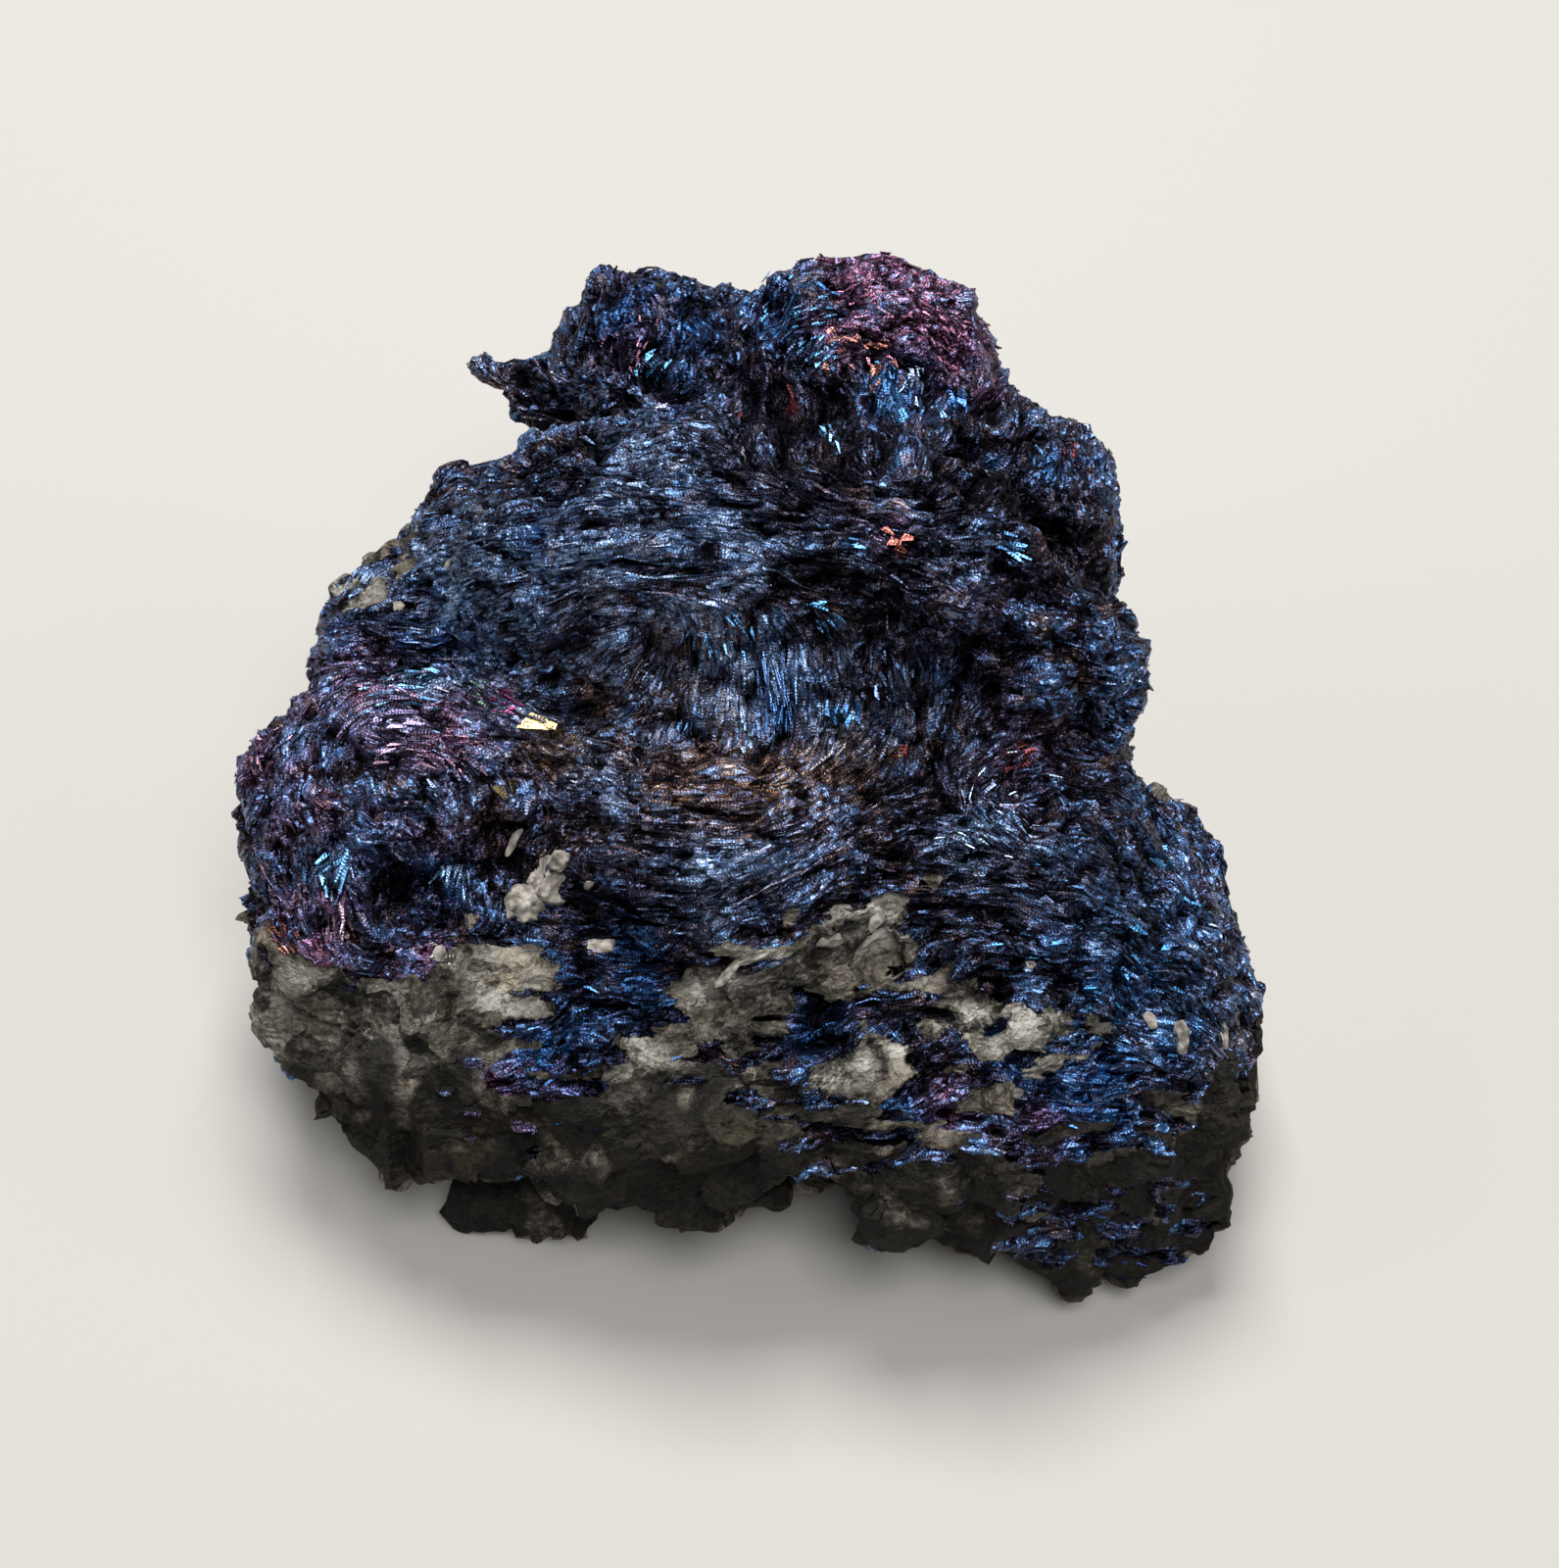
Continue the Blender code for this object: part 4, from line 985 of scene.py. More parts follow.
def select_where(test):
    """Selects the vertices of the mesh in edit mode whose place passes a test."""
    bpy.ops.mesh.select_all(action="DESELECT")
    bpy.ops.object.mode_set(mode="OBJECT")
    for vertex in bpy.context.object.data.vertices:
        vertex.select = bool(test(vertex.co))
    bpy.ops.object.mode_set(mode="EDIT")


def slim_leaf():
    """A closed three-sided leaf with a crest, pointed at both ends, with a ring at each station between."""
    bpy.ops.object.select_all(action="DESELECT")
    half = (LEAF_STATIONS - 1) / 2
    bpy.ops.mesh.primitive_cylinder_add(
        vertices=3, radius=1.0, depth=2.0 * (half - 1.0), end_fill_type="TRIFAN"
    )
    bpy.ops.object.mode_set(mode="EDIT")
    for end in (-1, 1):
        select_where(lambda place: place.z * end > half - 1.1 and place.xy.length < 0.1)
        bpy.ops.transform.translate(value=(0, 0, end))
    for station in range(2, LEAF_STATIONS - 2):
        bpy.ops.mesh.select_all(action="SELECT")
        bpy.ops.mesh.bisect(plane_co=(0, 0, station - half), plane_no=(0, 0, 1))
    return template()


def small_plate():
    """A thin closed plate, longer than wide and narrower at one end."""
    bpy.ops.object.select_all(action="DESELECT")
    bpy.ops.mesh.primitive_cube_add(size=2.0)
    bpy.ops.object.mode_set(mode="EDIT")
    select_where(lambda place: place.x > 0)
    bpy.ops.transform.resize(value=(1, PLATE_NARROW, 1), center_override=(0, 0, 0))
    select_where(lambda place: place.x < 0 and place.y > 0)
    bpy.ops.transform.translate(value=(PLATE_SLANT, 0, 0))
    return template()


def round_lump():
    """A ball of small faces that each lump of clay is shaped from."""
    bpy.ops.object.select_all(action="DESELECT")
    bpy.ops.mesh.primitive_ico_sphere_add(subdivisions=4, radius=1.0)
    bpy.ops.object.mode_set(mode="EDIT")
    return template()


def leaf_paths(surface, roots, strides, picker):
    """Each leaf's places along the grain, the skin's points below, its ways there, and if it keeps close."""
    place = surface.points[roots]
    way = surface.ways[roots] * picker.choice([-1.0, 1.0], len(roots))[:, None]
    close = np.ones(len(roots), bool)
    below = roots
    passed = [(place, roots, way)]
    for _ in range(LEAF_STATIONS - 1):
        place = place + way * strides[:, None]
        last = below
        below = surface.nearest(place)
        up = ((place - surface.points[below]) * surface.normals[below]).sum(axis=1)
        close &= (np.abs(up) < LEAF_STRAY) & (surface.stone[below] < 0.5)
        close &= (surface.normals[below] * surface.normals[last]).sum(axis=1) > LEAF_EVEN
        place = place - surface.normals[below] * up[:, None]
        onward = surface.ways[below]
        way = onward * np.sign((onward * way).sum(axis=1) + 1e-9)[:, None]
        passed.append((place, below, way))
    places, below, ways = (np.stack(part, axis=1) for part in zip(*passed))
    return places, below, ways, close


def grown_leaves(surface, picker):
    """Slim leaves that follow the grain: their points, one leaf's triangles, their roots and ways."""
    shape, corners = slim_leaf()
    station = np.round(shape[:, 2] + (LEAF_STATIONS - 1) / 2).astype(int)
    rise, across = shape[:, 1], shape[:, 0]
    chances = surface.density() * (1.0 - LEAF_AVOIDS * surface.granular)
    roots = picker.choice(len(chances), LEAVES, p=chances / chances.sum(), replace=False)
    length = LEAF_LENGTH[0] + (LEAF_LENGTH[1] - LEAF_LENGTH[0]) * picker.random(LEAVES) ** LEAF_SHORTNESS
    width = picker.uniform(*LEAF_WIDTH, LEAVES)
    height = picker.uniform(*LEAF_HEIGHT, LEAVES)
    lean = noise_at(surface.points[roots], LEAF_LEAN_WIDTH, shift=70.0) * LEAF_LEAN
    lean += picker.normal(0.0, LEAF_LEAN_SPREAD, LEAVES)
    lean = np.radians(np.clip(lean, -LEAF_LEAN_LIMIT, LEAF_LEAN_LIMIT))
    places, below, ways, close = leaf_paths(surface, roots, length / (LEAF_STATIONS - 1), picker)
    lean *= np.sign((ways[:, 0] * surface.ways[roots]).sum(axis=1))
    places, below, ways = places[:, station], below[:, station], ways[:, station]
    up = surface.normals[below]
    side = unit(np.cross(up, ways))
    tall = (rise - LEAF_SINK) * height[:, None]
    wide = across * width[:, None]
    turn_side = wide * np.cos(lean)[:, None] + tall * np.sin(lean)[:, None]
    turn_up = tall * np.cos(lean)[:, None] - wide * np.sin(lean)[:, None]
    grown = places + side * turn_side[..., None] + up * turn_up[..., None]
    return grown[close], corners, roots[close], ways[close]


def placed_plates(surface, roots, along, up, sizes, lift):
    """Plates of their own sizes, each at its root with its own ways along and up."""
    shape, corners = small_plate()
    side = np.cross(up, along)
    centre = surface.points[roots] + surface.normals[roots] * lift[:, None]
    stand = np.stack([along, side, up], axis=1)
    grown = centre[:, None] + np.einsum("nvk,nkd->nvd", shape[None] * sizes[:, None], stand)
    ways = np.repeat(along[:, None], len(shape), axis=1)
    return grown, corners, roots, ways


def lying_plates(surface, picker):
    """Small plates that lie along the grain, each tilted a little: as grown_leaves gives them."""
    chances = surface.plate_density()
    roots = picker.choice(len(chances), PLATES, p=chances / chances.sum(), replace=False)
    length = PLATE_LENGTH[0] * (PLATE_LENGTH[1] / PLATE_LENGTH[0]) ** picker.random(PLATES) / 2.0
    width = length * picker.uniform(*PLATE_WIDTH, PLATES)
    up = surface.normals[roots]
    along = surface.ways[roots] * picker.choice([-1.0, 1.0], PLATES)[:, None]
    up = turned(up, along, np.radians(picker.normal(0.0, PLATE_ROLL, PLATES)))
    along, up = unit(along), unit(up)
    pitch = np.radians(picker.normal(0.0, PLATE_PITCH, PLATES))
    side = np.cross(up, along)
    along, up = turned(along, side, pitch), turned(up, side, pitch)
    sizes = np.stack([length, width, np.full(PLATES, PLATE_THICKNESS / 2.0)], axis=1)
    return placed_plates(surface, roots, along, up, sizes, picker.uniform(*PLATE_LIFT, PLATES))


def flashing_plates(surface, picker):
    """Plates that lie at the angle that sends the light to the camera, in the named flashes' colours."""
    roots, sizes, tints = [], [], []
    for x, y, reach, count, long, wide, colour in FLASHES.values():
        chances = near(surface.pixels, (x, y), reach) * (surface.facing > FLASH_FACING)
        roots.append(picker.choice(len(chances), count, p=chances / chances.sum(), replace=False))
        length = long / 2.0 * picker.uniform(*FLASH_LONG, count)
        width = wide / 2.0 * picker.uniform(*FLASH_WIDE, count)
        sizes.append(np.stack([length, width, np.full(count, PLATE_THICKNESS / 2.0)], axis=1))
        tints.append(np.array(linear(colour))[None] * picker.uniform(*FLASH_STRENGTH, count)[:, None])
    roots, sizes, tints = np.concatenate(roots), np.concatenate(sizes), np.concatenate(tints)
    place = surface.points[roots]
    halfway = unit(unit(np.array(CAMERA) - place) + unit(np.array(LIGHTS["overhead"][0]) / MM - place))
    aim = picker.uniform(*FLASH_AIM, len(roots))[:, None]
    stray = picker.normal(0.0, FLASH_STRAY, (len(roots), 3))
    up = unit(surface.normals[roots] * (1.0 - aim) + halfway * aim + stray)
    along = surface.ways[roots]
    along = unit(along - up * (along * up).sum(axis=1)[:, None])
    lift = picker.uniform(*FLASH_LIFT, len(roots))
    return placed_plates(surface, roots, along, up, sizes, lift), tints


def clay_lumps(surface, picker):
    """Lumps of clay in the gaps: their points and one lump's triangles."""
    shape, corners = round_lump()
    lumps = []
    for x, y, long, wide, turn in CLAY.values():
        away = ((surface.pixels - (x, y)) ** 2).sum(axis=1)
        root = int(np.argmin(np.where(surface.facing < 0.6, np.inf, away)))
        up = surface.normals[root]
        axes = np.array(camera_turn())
        angle = math.radians(turn)
        along = axes[:, 0] * math.cos(angle) + axes[:, 1] * math.sin(angle)
        along = along - up * (along @ up)
        along = along / np.linalg.norm(along)
        stand = np.stack([along, np.cross(up, along), up])
        thin = min(long, wide)
        local = shape.copy()
        cuts = unit(picker.normal(0.0, 1.0, (CLAY_FACES, 3)))
        for way, reach in zip(cuts, picker.uniform(*CLAY_REACH, CLAY_FACES)):
            local -= np.maximum(local @ way - reach, 0.0)[:, None] * way
        sizes = np.array([long, wide, thin * CLAY_DEPTH]) / 2.0
        places = surface.points[root] + (local * sizes) @ stand
        rough = noise_at(places, CLAY_LUMPS) + CLAY_GRIT_SHARE * noise_at(places, CLAY_GRIT, shift=9.0)
        lumps.append(places + unit(shape @ stand) * rough[:, None] * CLAY_ROUGH * thin)
    return np.stack(lumps), corners


def joined(name, surface, grown, corners):
    """One mesh object from the points of each leaf and the triangles of one."""
    count, each = grown.shape[:2]
    mesh = bpy.data.meshes.new(name)
    points = np.clip(grown.reshape(-1, 3), surface.low, surface.high)
    faces = (corners[None] + np.arange(count)[:, None, None] * each).reshape(-1, 3)
    mesh.from_pydata((points * MM).tolist(), [], faces.tolist())
    made = bpy.data.objects.new(name, mesh)
    bpy.context.scene.collection.objects.link(made)
    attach(made, "root")
    return made


def leaf_piece(name, surface, leaves, picker, material):
    """Leaves joined into one piece that carries the finishes of the skin below them, with its painted light
    and shade.
    """
    grown, corners, roots, ways = leaves
    count, each = grown.shape[:2]
    made = joined(name, surface, grown, corners)
    surface.write(made.data, np.repeat(roots, each))
    write_attribute(made.data, "shade", np.repeat(picker.random(count), each))
    layer = made.data.attributes.new("grain", "FLOAT_VECTOR", "POINT")
    layer.data.foreach_set("vector", ways.astype(np.float32).ravel())
    made.data.materials.append(material)
    return made


def leaf_pieces(name, surface, leaves, picker, material):
    """Leaves as several pieces from left to right, each small enough to export whole."""
    grown, corners, roots, ways = leaves
    parts = math.ceil(len(grown) * len(corners) / TRIANGLES_PER_PIECE)
    order = np.argsort(surface.points[roots][:, 0])
    for index, chosen in enumerate(np.array_split(order, parts)):
        some = grown[chosen], corners, roots[chosen], ways[chosen]
        leaf_piece(f"{name}_{index + 1}", surface, some, picker, material)


# Materials

def node(tree, kind, links=None, stops=None, **settings):
    """Adds a node with its settings, its ramp's stops, and its inputs' values or links."""
    made = tree.nodes.new(kind)
    for name, value in settings.items():
        setattr(made, name, value)
    for socket, value in (links or {}).items():
        if isinstance(value, bpy.types.NodeSocket):
            tree.links.new(value, made.inputs[socket])
        else:
            made.inputs[socket].default_value = value
    if stops:
        ramp = made.color_ramp
        while len(ramp.elements) < len(stops):
            ramp.elements.new(1.0)
        for element, (place, colour) in zip(ramp.elements, stops):
            element.position = place
            element.color = linear(colour)
    return made


def new_material(name):
    made = bpy.data.materials.new(name)
    made.use_nodes = True
    return made, made.node_tree, made.node_tree.nodes["Principled BSDF"]


def kept_numbers(tree):
    """The numbers that the mesh keeps at each point, by name."""
    names = ["stone", "crest", "streak", "painted_light_and_tone", "granular", "shade", *PATCHES]
    return {name: node(tree, "ShaderNodeAttribute", attribute_name=name).outputs["Fac"] for name in names}


def weighted(tree, start, *parts):
    """A sum of numbers, each taken with its own weight, from a start."""
    total = start
    for number, weight in parts:
        term = {0: number, 1: weight, 2: total}
        total = node(tree, "ShaderNodeMath", term, operation="MULTIPLY_ADD").outputs[0]
    return total


def grain_lines(tree, where):
    """Fine lines along the grain from 0 to 1: one noise, averaged over several places along it."""
    way = node(tree, "ShaderNodeAttribute", attribute_name="grain").outputs["Vector"]
    total = 0.0
    for tap in range(-LINE_TAPS, LINE_TAPS + 1):
        shift = {0: way, 1: (tap * LINE_STEP * MM,) * 3, 2: where}
        place = node(tree, "ShaderNodeVectorMath", shift, operation="MULTIPLY_ADD").outputs[0]
        wave = {"Vector": place, "Scale": 1 / (LINE_WIDTH * MM), "Detail": 0.0}
        wave = node(tree, "ShaderNodeTexNoise", wave).outputs["Fac"]
        total = weighted(tree, total, (wave, 1.0))
    count = 2 * LINE_TAPS + 1
    spread = {"Value": total, "From Min": LINE_RANGE[0] * count, "From Max": LINE_RANGE[1] * count}
    return node(tree, "ShaderNodeMapRange", spread).outputs["Result"]


def leaning(tree, place, cell, lean):
    """How far a place rises in mm on a plane through its cell's middle that leans the cell's own way."""
    own = {0: place, 1: cell["Position"]}
    own = node(tree, "ShaderNodeVectorMath", own, operation="SUBTRACT").outputs[0]
    tilt = {0: cell["Color"], 1: (0.5,) * 3}
    tilt = node(tree, "ShaderNodeVectorMath", tilt, operation="SUBTRACT").outputs[0]
    rise = node(tree, "ShaderNodeVectorMath", {0: own, 1: tilt}, operation="DOT_PRODUCT").outputs["Value"]
    return weighted(tree, 0.0, (rise, lean / MM))


def packed_leaves(tree, where, granular):
    """Leaves packed side by side in bundles along the grain: how far inside one each place is, the leaf's
    and its bundle's own random numbers, and how far the two lean there, in mm."""
    way = node(tree, "ShaderNodeAttribute", attribute_name="grain").outputs["Vector"]
    waves = {"Vector": where, "Scale": 1 / (BUNDLE_BEND * MM), "Detail": 0.0}
    waves = node(tree, "ShaderNodeTexNoise", waves).outputs["Color"]
    bend = {0: waves, 1: (BUNDLE_BEND * MM,) * 3, 2: where}
    bent = node(tree, "ShaderNodeVectorMath", bend, operation="MULTIPLY_ADD").outputs[0]
    bundle = node(tree, "ShaderNodeTexVoronoi", {"Vector": bent, "Scale": 1 / (BUNDLE_WIDTH * MM)}).outputs
    away = {0: bent, 1: bundle["Position"]}
    away = node(tree, "ShaderNodeVectorMath", away, operation="SUBTRACT").outputs[0]
    along = node(tree, "ShaderNodeVectorMath", {0: away, 1: way}, operation="DOT_PRODUCT").outputs["Value"]
    pull = {"Value": granular, "To Min": PACKED_PULL[0], "To Max": PACKED_PULL[1]}
    pull = weighted(tree, 0.0, (along, node(tree, "ShaderNodeMapRange", pull).outputs["Result"]))
    shift = node(tree, "ShaderNodeVectorMath", {0: way, "Scale": pull}, operation="SCALE").outputs[0]
    place = node(tree, "ShaderNodeVectorMath", {0: where, 1: shift}, operation="ADD").outputs[0]
    leaf = node(tree, "ShaderNodeTexVoronoi", {"Vector": place, "Scale": 1 / (PACKED_WIDTH * MM)}).outputs
    # How far inside a leaf each place is: the material paints shade at the edges, between the leaves and in
    # the matrix's cracks
    inside = {
        "Value": leaf["Distance"], "From Min": PACKED_EDGE[0], "From Max": PACKED_EDGE[1],
        "To Min": 1.0, "To Max": 0.1,
    }
    inside = node(tree, "ShaderNodeMapRange", inside).outputs["Result"]
    own = node(tree, "ShaderNodeSeparateXYZ", {0: leaf["Color"]}).outputs
    shared = node(tree, "ShaderNodeSeparateXYZ", {0: bundle["Color"]}).outputs
    lean = leaning(tree, place, leaf, PACKED_LEAN)
    block = leaning(tree, bent, bundle, BUNDLE_LEAN)
    return {
        "inside": inside, "tone": own[0], "tint": own[1], "part": shared[0], "lean": lean, "block": block,
    }


def covellite_colour(tree, where, kept, shade, tint):
    """Indigo covellite with its tarnish: violet, brown and deep blue where the skin says so, pale slate
    partly as a painted sheen, and painted shade near black in the grooves and hollows.
    """
    patchy = {"Vector": where, "Scale": 1 / (RUST_WIDTH * MM), "Detail": 1.0}
    patchy = node(tree, "ShaderNodeTexNoise", patchy).outputs["Fac"]
    rust = {"Value": patchy, "From Min": 0.5, "From Max": 0.68, "To Max": 0.6}
    rust = node(tree, "ShaderNodeMapRange", rust).outputs["Result"]
    brown = {0: kept["brown"], 1: rust}
    brown = node(tree, "ShaderNodeMath", brown, operation="MAXIMUM").outputs[0]
    colour = node(tree, "ShaderNodeValToRGB", {"Fac": shade}, stops=[
        (0.0, "#050509"), (0.18, "#17141b"), (0.34, "#2f2632"), (0.46, "#3d4664"), (0.62, "#516e96"),
        (0.76, "#5c8fd2"), (0.88, "#8aa0c8"), (1.0, "#cfdff4"),
    ]).outputs["Color"]
    tarnishes = {
        "brown": [
            (0.0, "#0f0c0b"), (0.25, "#3b2b23"), (0.5, "#6f5445"), (0.75, "#94806f"), (1.0, "#8a98bc"),
        ],
        "violet": [
            (0.0, "#100810"), (0.3, "#45273e"), (0.5, "#7c4d68"), (0.72, "#ac7a92"), (0.88, "#7f93cc"),
            (1.0, "#c9acc0"),
        ],
        "blue": [(0.0, "#050814"), (0.3, "#15294c"), (0.55, "#2a5c96"), (0.8, "#4a8ed4"), (1.0, "#82c4f0")],
        # Pale slate: partly a painted sheen
        "pale": [(0.0, "#0e111c"), (0.3, "#3b435c"), (0.55, "#6c82a2"), (0.8, "#94aed0"), (1.0, "#c8d3ee")],
    }
    spread = {"Value": tint, "From Min": 0.1, "From Max": 0.9, "To Min": 0.3, "To Max": 1.4}
    spread = node(tree, "ShaderNodeMapRange", spread).outputs["Result"]
    for name, stops in tarnishes.items():
        tinted = node(tree, "ShaderNodeValToRGB", {"Fac": shade}, stops=stops).outputs["Color"]
        strength = weighted(tree, 0.0, (brown if name == "brown" else kept[name], spread))
        mix = {"Factor": strength, "A": colour, "B": tinted}
        colour = node(tree, "ShaderNodeMix", mix, data_type="RGBA").outputs["Result"]
    # Painted shade: grooves and hollows painted near black
    gaps = {"Value": kept["crest"], "From Min": 0.1, "From Max": 0.4}
    gaps = node(tree, "ShaderNodeMapRange", gaps).outputs["Result"]
    mix = {"Factor": gaps, "A": linear("#040409"), "B": colour}
    return node(tree, "ShaderNodeMix", mix, data_type="RGBA").outputs["Result"]


def matrix_colour(tree, where, kept, packed, grain):
    """Grey-olive sulphide matrix with buff streaks, spots of gold-brown, and painted shade on its lower
    faces and in its cracks.
    """
    lumps = {"Vector": where, "Scale": 1 / (MOTTLE_WIDTH * MM), "Detail": 2.0}
    lumps = node(tree, "ShaderNodeTexNoise", lumps).outputs["Fac"]
    lumps = weighted(tree, -0.23, (lumps, 0.4), (packed["tone"], 0.14), (grain, 0.55),
                     (packed["part"], 0.34))
    plain = node(tree, "ShaderNodeValToRGB", {"Fac": lumps}, stops=[
        (0.26, "#1c1a16"), (0.42, "#37332c"), (0.56, "#565047"), (0.72, "#7b7468"),
    ]).outputs["Color"]
    streaks = weighted(tree, -0.78, (kept["streak"], 0.9), (packed["tone"], 0.4), (grain, 0.9),
                       (packed["part"], 0.35))
    buff = node(tree, "ShaderNodeValToRGB", {"Fac": streaks}, stops=[
        (0.1, "#15161c"), (0.32, "#403e3a"), (0.58, "#77736a"), (0.85, "#b3afa7"),
    ]).outputs["Color"]
    gold = node(tree, "ShaderNodeValToRGB", {"Fac": lumps}, stops=[
        (0.35, "#2d291f"), (0.5, "#6d5c3a"), (0.65, "#a3905e"), (0.8, "#b9b0a0"),
    ]).outputs["Color"]
    bare = {"Value": lumps, "From Min": 0.42, "From Max": 0.6}
    bare = node(tree, "ShaderNodeMapRange", bare).outputs["Result"]
    speckled = weighted(tree, 0.0, (kept["gold"], bare))
    # Painted shade in the matrix's cracks, at the edges of the packed cells
    crack_shade = node(tree, "ShaderNodeMapRange", {"Value": packed["inside"], "To Min": 0.55}).outputs["Result"]
    # Painted shade on the matrix's lower faces: near black where those patches lie, edged by the bundles as
    # if facets were in shadow
    uneven = weighted(tree, -0.15, (kept["dark"], 1.0), (packed["part"], 0.3))
    dark = {"Value": uneven, "From Min": 0.24, "From Max": 0.48, "To Max": 0.9}
    dark = node(tree, "ShaderNodeMapRange", dark).outputs["Result"]
    layers = [(kept["buff"], buff), (speckled, gold), (dark, linear("#0f0d0b"))]
    colour = plain
    for factor, tinted in layers:
        mix = {"Factor": factor, "A": colour, "B": tinted}
        colour = node(tree, "ShaderNodeMix", mix, data_type="RGBA").outputs["Result"]
    mix = {"Factor": crack_shade, "A": linear("#16150f"), "B": colour}
    return node(tree, "ShaderNodeMix", mix, data_type="RGBA").outputs["Result"]


def leaf_material():
    """Covellite: a soft indigo sulphide that splits into thin leaves, half metal in gloss and tarnished."""
    made, tree, shader = new_material("foliated covellite")
    where = node(tree, "ShaderNodeTexCoord").outputs["Object"]
    kept = kept_numbers(tree)
    lines = grain_lines(tree, where)
    # Painted light and shade: crests brighter, grooves and hollows darker, plus the zones painted brighter
    # or darker
    shade = weighted(tree, -0.14, (kept["shade"], 0.42), (lines, 0.4), (kept["crest"], 0.2),
                     (kept["painted_light_and_tone"], 1.0))
    colour = covellite_colour(tree, where, kept, shade, kept["shade"])
    tree.links.new(colour, shader.inputs["Base Color"])
    shader.inputs["Metallic"].default_value = 0.9
    shader.inputs["Roughness"].default_value = 0.36
    bump = node(tree, "ShaderNodeBump", {"Height": lines, "Strength": 0.6, "Distance": LINE_DEPTH * MM})
    tree.links.new(bump.outputs["Normal"], shader.inputs["Normal"])
    return made


def flash_material():
    """Covellite leaves so thinly tarnished that they flash in one bright colour each."""
    made, tree, shader = new_material("iridescent covellite")
    lines = grain_lines(tree, node(tree, "ShaderNodeTexCoord").outputs["Object"])
    tint = node(tree, "ShaderNodeAttribute", attribute_name="tint").outputs["Color"]
    mix = {"Factor": weighted(tree, 0.0, (lines, 1.3)), "A": linear("#141620"), "B": tint}
    lined = node(tree, "ShaderNodeMix", mix, data_type="RGBA").outputs["Result"]
    tree.links.new(lined, shader.inputs["Base Color"])
    shader.inputs["Metallic"].default_value = 0.95
    shader.inputs["Roughness"].default_value = 0.3
    bump = node(tree, "ShaderNodeBump", {"Height": lines, "Strength": 0.3, "Distance": LINE_DEPTH * MM})
    tree.links.new(bump.outputs["Normal"], shader.inputs["Normal"])
    return made


def skin_material():
    """Covellite in packed leaves with painted shade in the gaps between them, over dull, broken sulphide
    matrix with a fine grain.
    """
    made, tree, shader = new_material("covellite and matrix")
    where = node(tree, "ShaderNodeTexCoord").outputs["Object"]
    kept = kept_numbers(tree)
    lines = grain_lines(tree, where)
    packed = packed_leaves(tree, where, kept["granular"])
    edge = weighted(tree, 0.0, (kept["stone"], 1.0), (kept["streak"], 0.3), (packed["tone"], 0.3),
                    (lines, 0.15))
    stone = {"Value": edge, "From Min": 0.82, "From Max": 0.94}
    stone = node(tree, "ShaderNodeMapRange", stone).outputs["Result"]
    blotches = {"Vector": where, "Scale": 1 / (BLOTCH_WIDTH * MM), "Detail": 1.0}
    blotches = node(tree, "ShaderNodeTexNoise", blotches).outputs["Fac"]
    # Painted light and shade: crests brighter, grooves and hollows darker, plus the zones painted brighter
    # or darker
    shade = weighted(tree, -0.57, (packed["tone"], 0.46), (lines, 0.3), (blotches, 0.5),
                     (kept["crest"], 0.45), (packed["part"], 0.22), (kept["painted_light_and_tone"], 1.0))
    colour = covellite_colour(tree, where, kept, shade, packed["tint"])
    # Painted shade: near black in the gaps between the packed leaves
    mix = {"Factor": packed["inside"], "A": linear("#030307"), "B": colour}
    colour = node(tree, "ShaderNodeMix", mix, data_type="RGBA").outputs["Result"]
    grain = {"Vector": where, "Scale": 1 / (ROCK_GRAIN * MM), "Detail": 2.0, "Roughness": 0.8}
    grain = node(tree, "ShaderNodeTexNoise", grain).outputs["Fac"]
    mix = {"Factor": stone, "A": colour, "B": matrix_colour(tree, where, kept, packed, grain)}
    both = node(tree, "ShaderNodeMix", mix, data_type="RGBA").outputs["Result"]
    tree.links.new(both, shader.inputs["Base Color"])
    shader.inputs["Specular IOR Level"].default_value = 0.15
    metal = {"Value": stone, "To Min": 0.9, "To Max": 0.0}
    metal = node(tree, "ShaderNodeMapRange", metal).outputs["Result"]
    tree.links.new(metal, shader.inputs["Metallic"])
    rough = {"Value": stone, "To Min": 0.42, "To Max": 0.75}
    rough = node(tree, "ShaderNodeMapRange", rough).outputs["Result"]
    tree.links.new(rough, shader.inputs["Roughness"])
    rock = weighted(tree, 0.0, (grain, ROCK_DEPTH), (packed["lean"], ROCK_LEAN),
                    (packed["block"], ROCK_FACET))
    strands = weighted(tree, 0.0, (lines, LINE_DEPTH), (packed["lean"], 1.0), (packed["block"], 1.0))
    mix = {"Factor": stone, "A": strands, "B": rock}
    rise = node(tree, "ShaderNodeMix", mix, data_type="FLOAT").outputs["Result"]
    bump = node(tree, "ShaderNodeBump", {"Height": rise, "Strength": 1.0, "Distance": MM})
    tree.links.new(bump.outputs["Normal"], shader.inputs["Normal"])
    return made


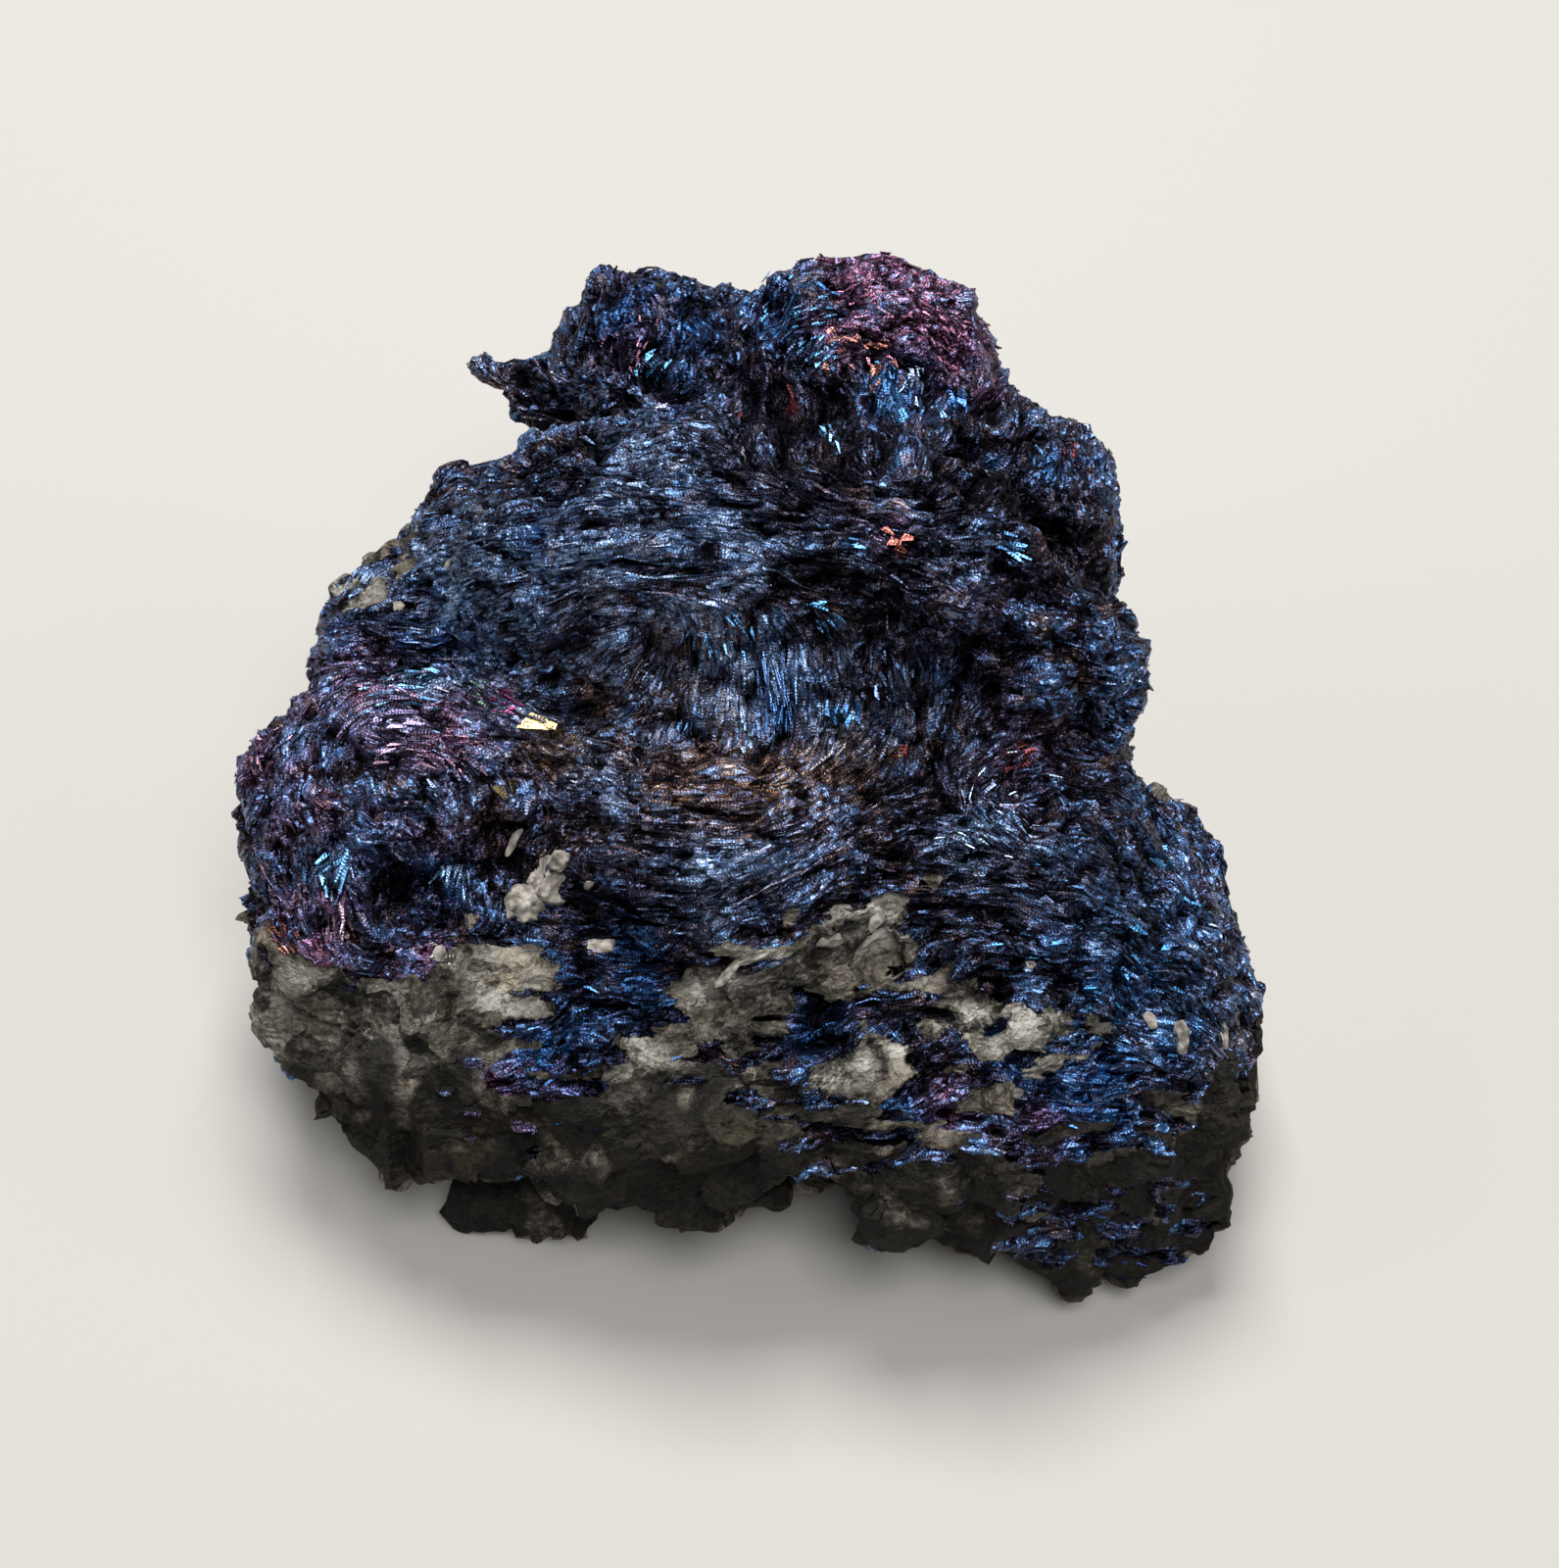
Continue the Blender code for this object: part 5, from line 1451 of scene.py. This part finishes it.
def clay_material():
    """Dry clay left in the gaps: matt and pale, with nothing to catch the light."""
    made, tree, shader = new_material("dry clay")
    where = node(tree, "ShaderNodeTexCoord").outputs["Object"]
    grains = {"Vector": where, "Scale": 1 / (CLAY_GRAIN * MM), "Detail": 5.0}
    grains = node(tree, "ShaderNodeTexNoise", grains).outputs["Fac"]
    colour = node(tree, "ShaderNodeValToRGB", {"Fac": grains}, stops=[
        (0.3, "#4a4640"), (0.5, "#7a746c"), (0.7, "#aaa49b"),
    ]).outputs["Color"]
    tree.links.new(colour, shader.inputs["Base Color"])
    shader.inputs["Roughness"].default_value = 0.9
    bump = {"Height": grains, "Strength": 0.5, "Distance": CLAY_GRAIN_DEPTH * MM}
    bump = node(tree, "ShaderNodeBump", bump)
    tree.links.new(bump.outputs["Normal"], shader.inputs["Normal"])
    return made


def floor_material():
    """Painted floor, rolled: pale and matt, so that nothing on it draws the eye."""
    made, tree, shader = new_material("pale floor")
    shader.inputs["Base Color"].default_value = linear("#a9a6a1")
    shader.inputs["Roughness"].default_value = 0.8
    return made


# Stage

def make_floor():
    bpy.ops.object.select_all(action="DESELECT")
    bpy.ops.mesh.primitive_plane_add(size=FLOOR_SIDE)
    floor = bpy.context.object
    floor.name = "floor"
    floor.data.materials.append(floor_material())


def make_light(name, place, size, power):
    """A square soft light in metres, turned to the specimen."""
    lamp = bpy.data.lights.new(name, "AREA")
    lamp.size = size
    lamp.energy = power
    light = bpy.data.objects.new(name, lamp)
    bpy.context.scene.collection.objects.link(light)
    light.location = place
    light.rotation_mode = "QUATERNION"
    light.rotation_quaternion = (Vector(LIGHTS_AIM) - Vector(place)).to_track_quat("-Z", "Y")


def make_lights():
    for name, (place, size, power) in LIGHTS.items():
        make_light(name, place, size, power)
    world = bpy.data.worlds.new("studio")
    bpy.context.scene.world = world
    world.use_nodes = True
    background = world.node_tree.nodes["Background"]
    background.inputs["Color"].default_value = linear("#dfe3ea")
    background.inputs["Strength"].default_value = STUDIO_STRENGTH


def main():
    picker = np.random.default_rng(SEED)
    noise.seed_set(SEED)
    make_camera()
    skin = skin_of(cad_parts[NODE])
    surface = Surface(skin)
    skin.data.materials.append(skin_material())
    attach(skin, "root")
    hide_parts(NODE)
    leaf = leaf_material()
    leaf_pieces("slim_leaves", surface, grown_leaves(surface, picker), picker, leaf)
    leaf_pieces("small_plates", surface, lying_plates(surface, picker), picker, leaf)
    plates, tints = flashing_plates(surface, picker)
    flashes = leaf_piece("flashing_plates", surface, plates, picker, flash_material())
    layer = flashes.data.attributes.new("tint", "FLOAT_COLOR", "POINT")
    layer.data.foreach_set("color", np.repeat(tints, plates[0].shape[1], axis=0).astype(np.float32).ravel())
    clay = joined("clay_lumps", surface, *clay_lumps(surface, picker))
    clay.data.materials.append(clay_material())
    make_floor()
    make_lights()
    bpy.context.scene.view_settings.view_transform = "Standard"


main()
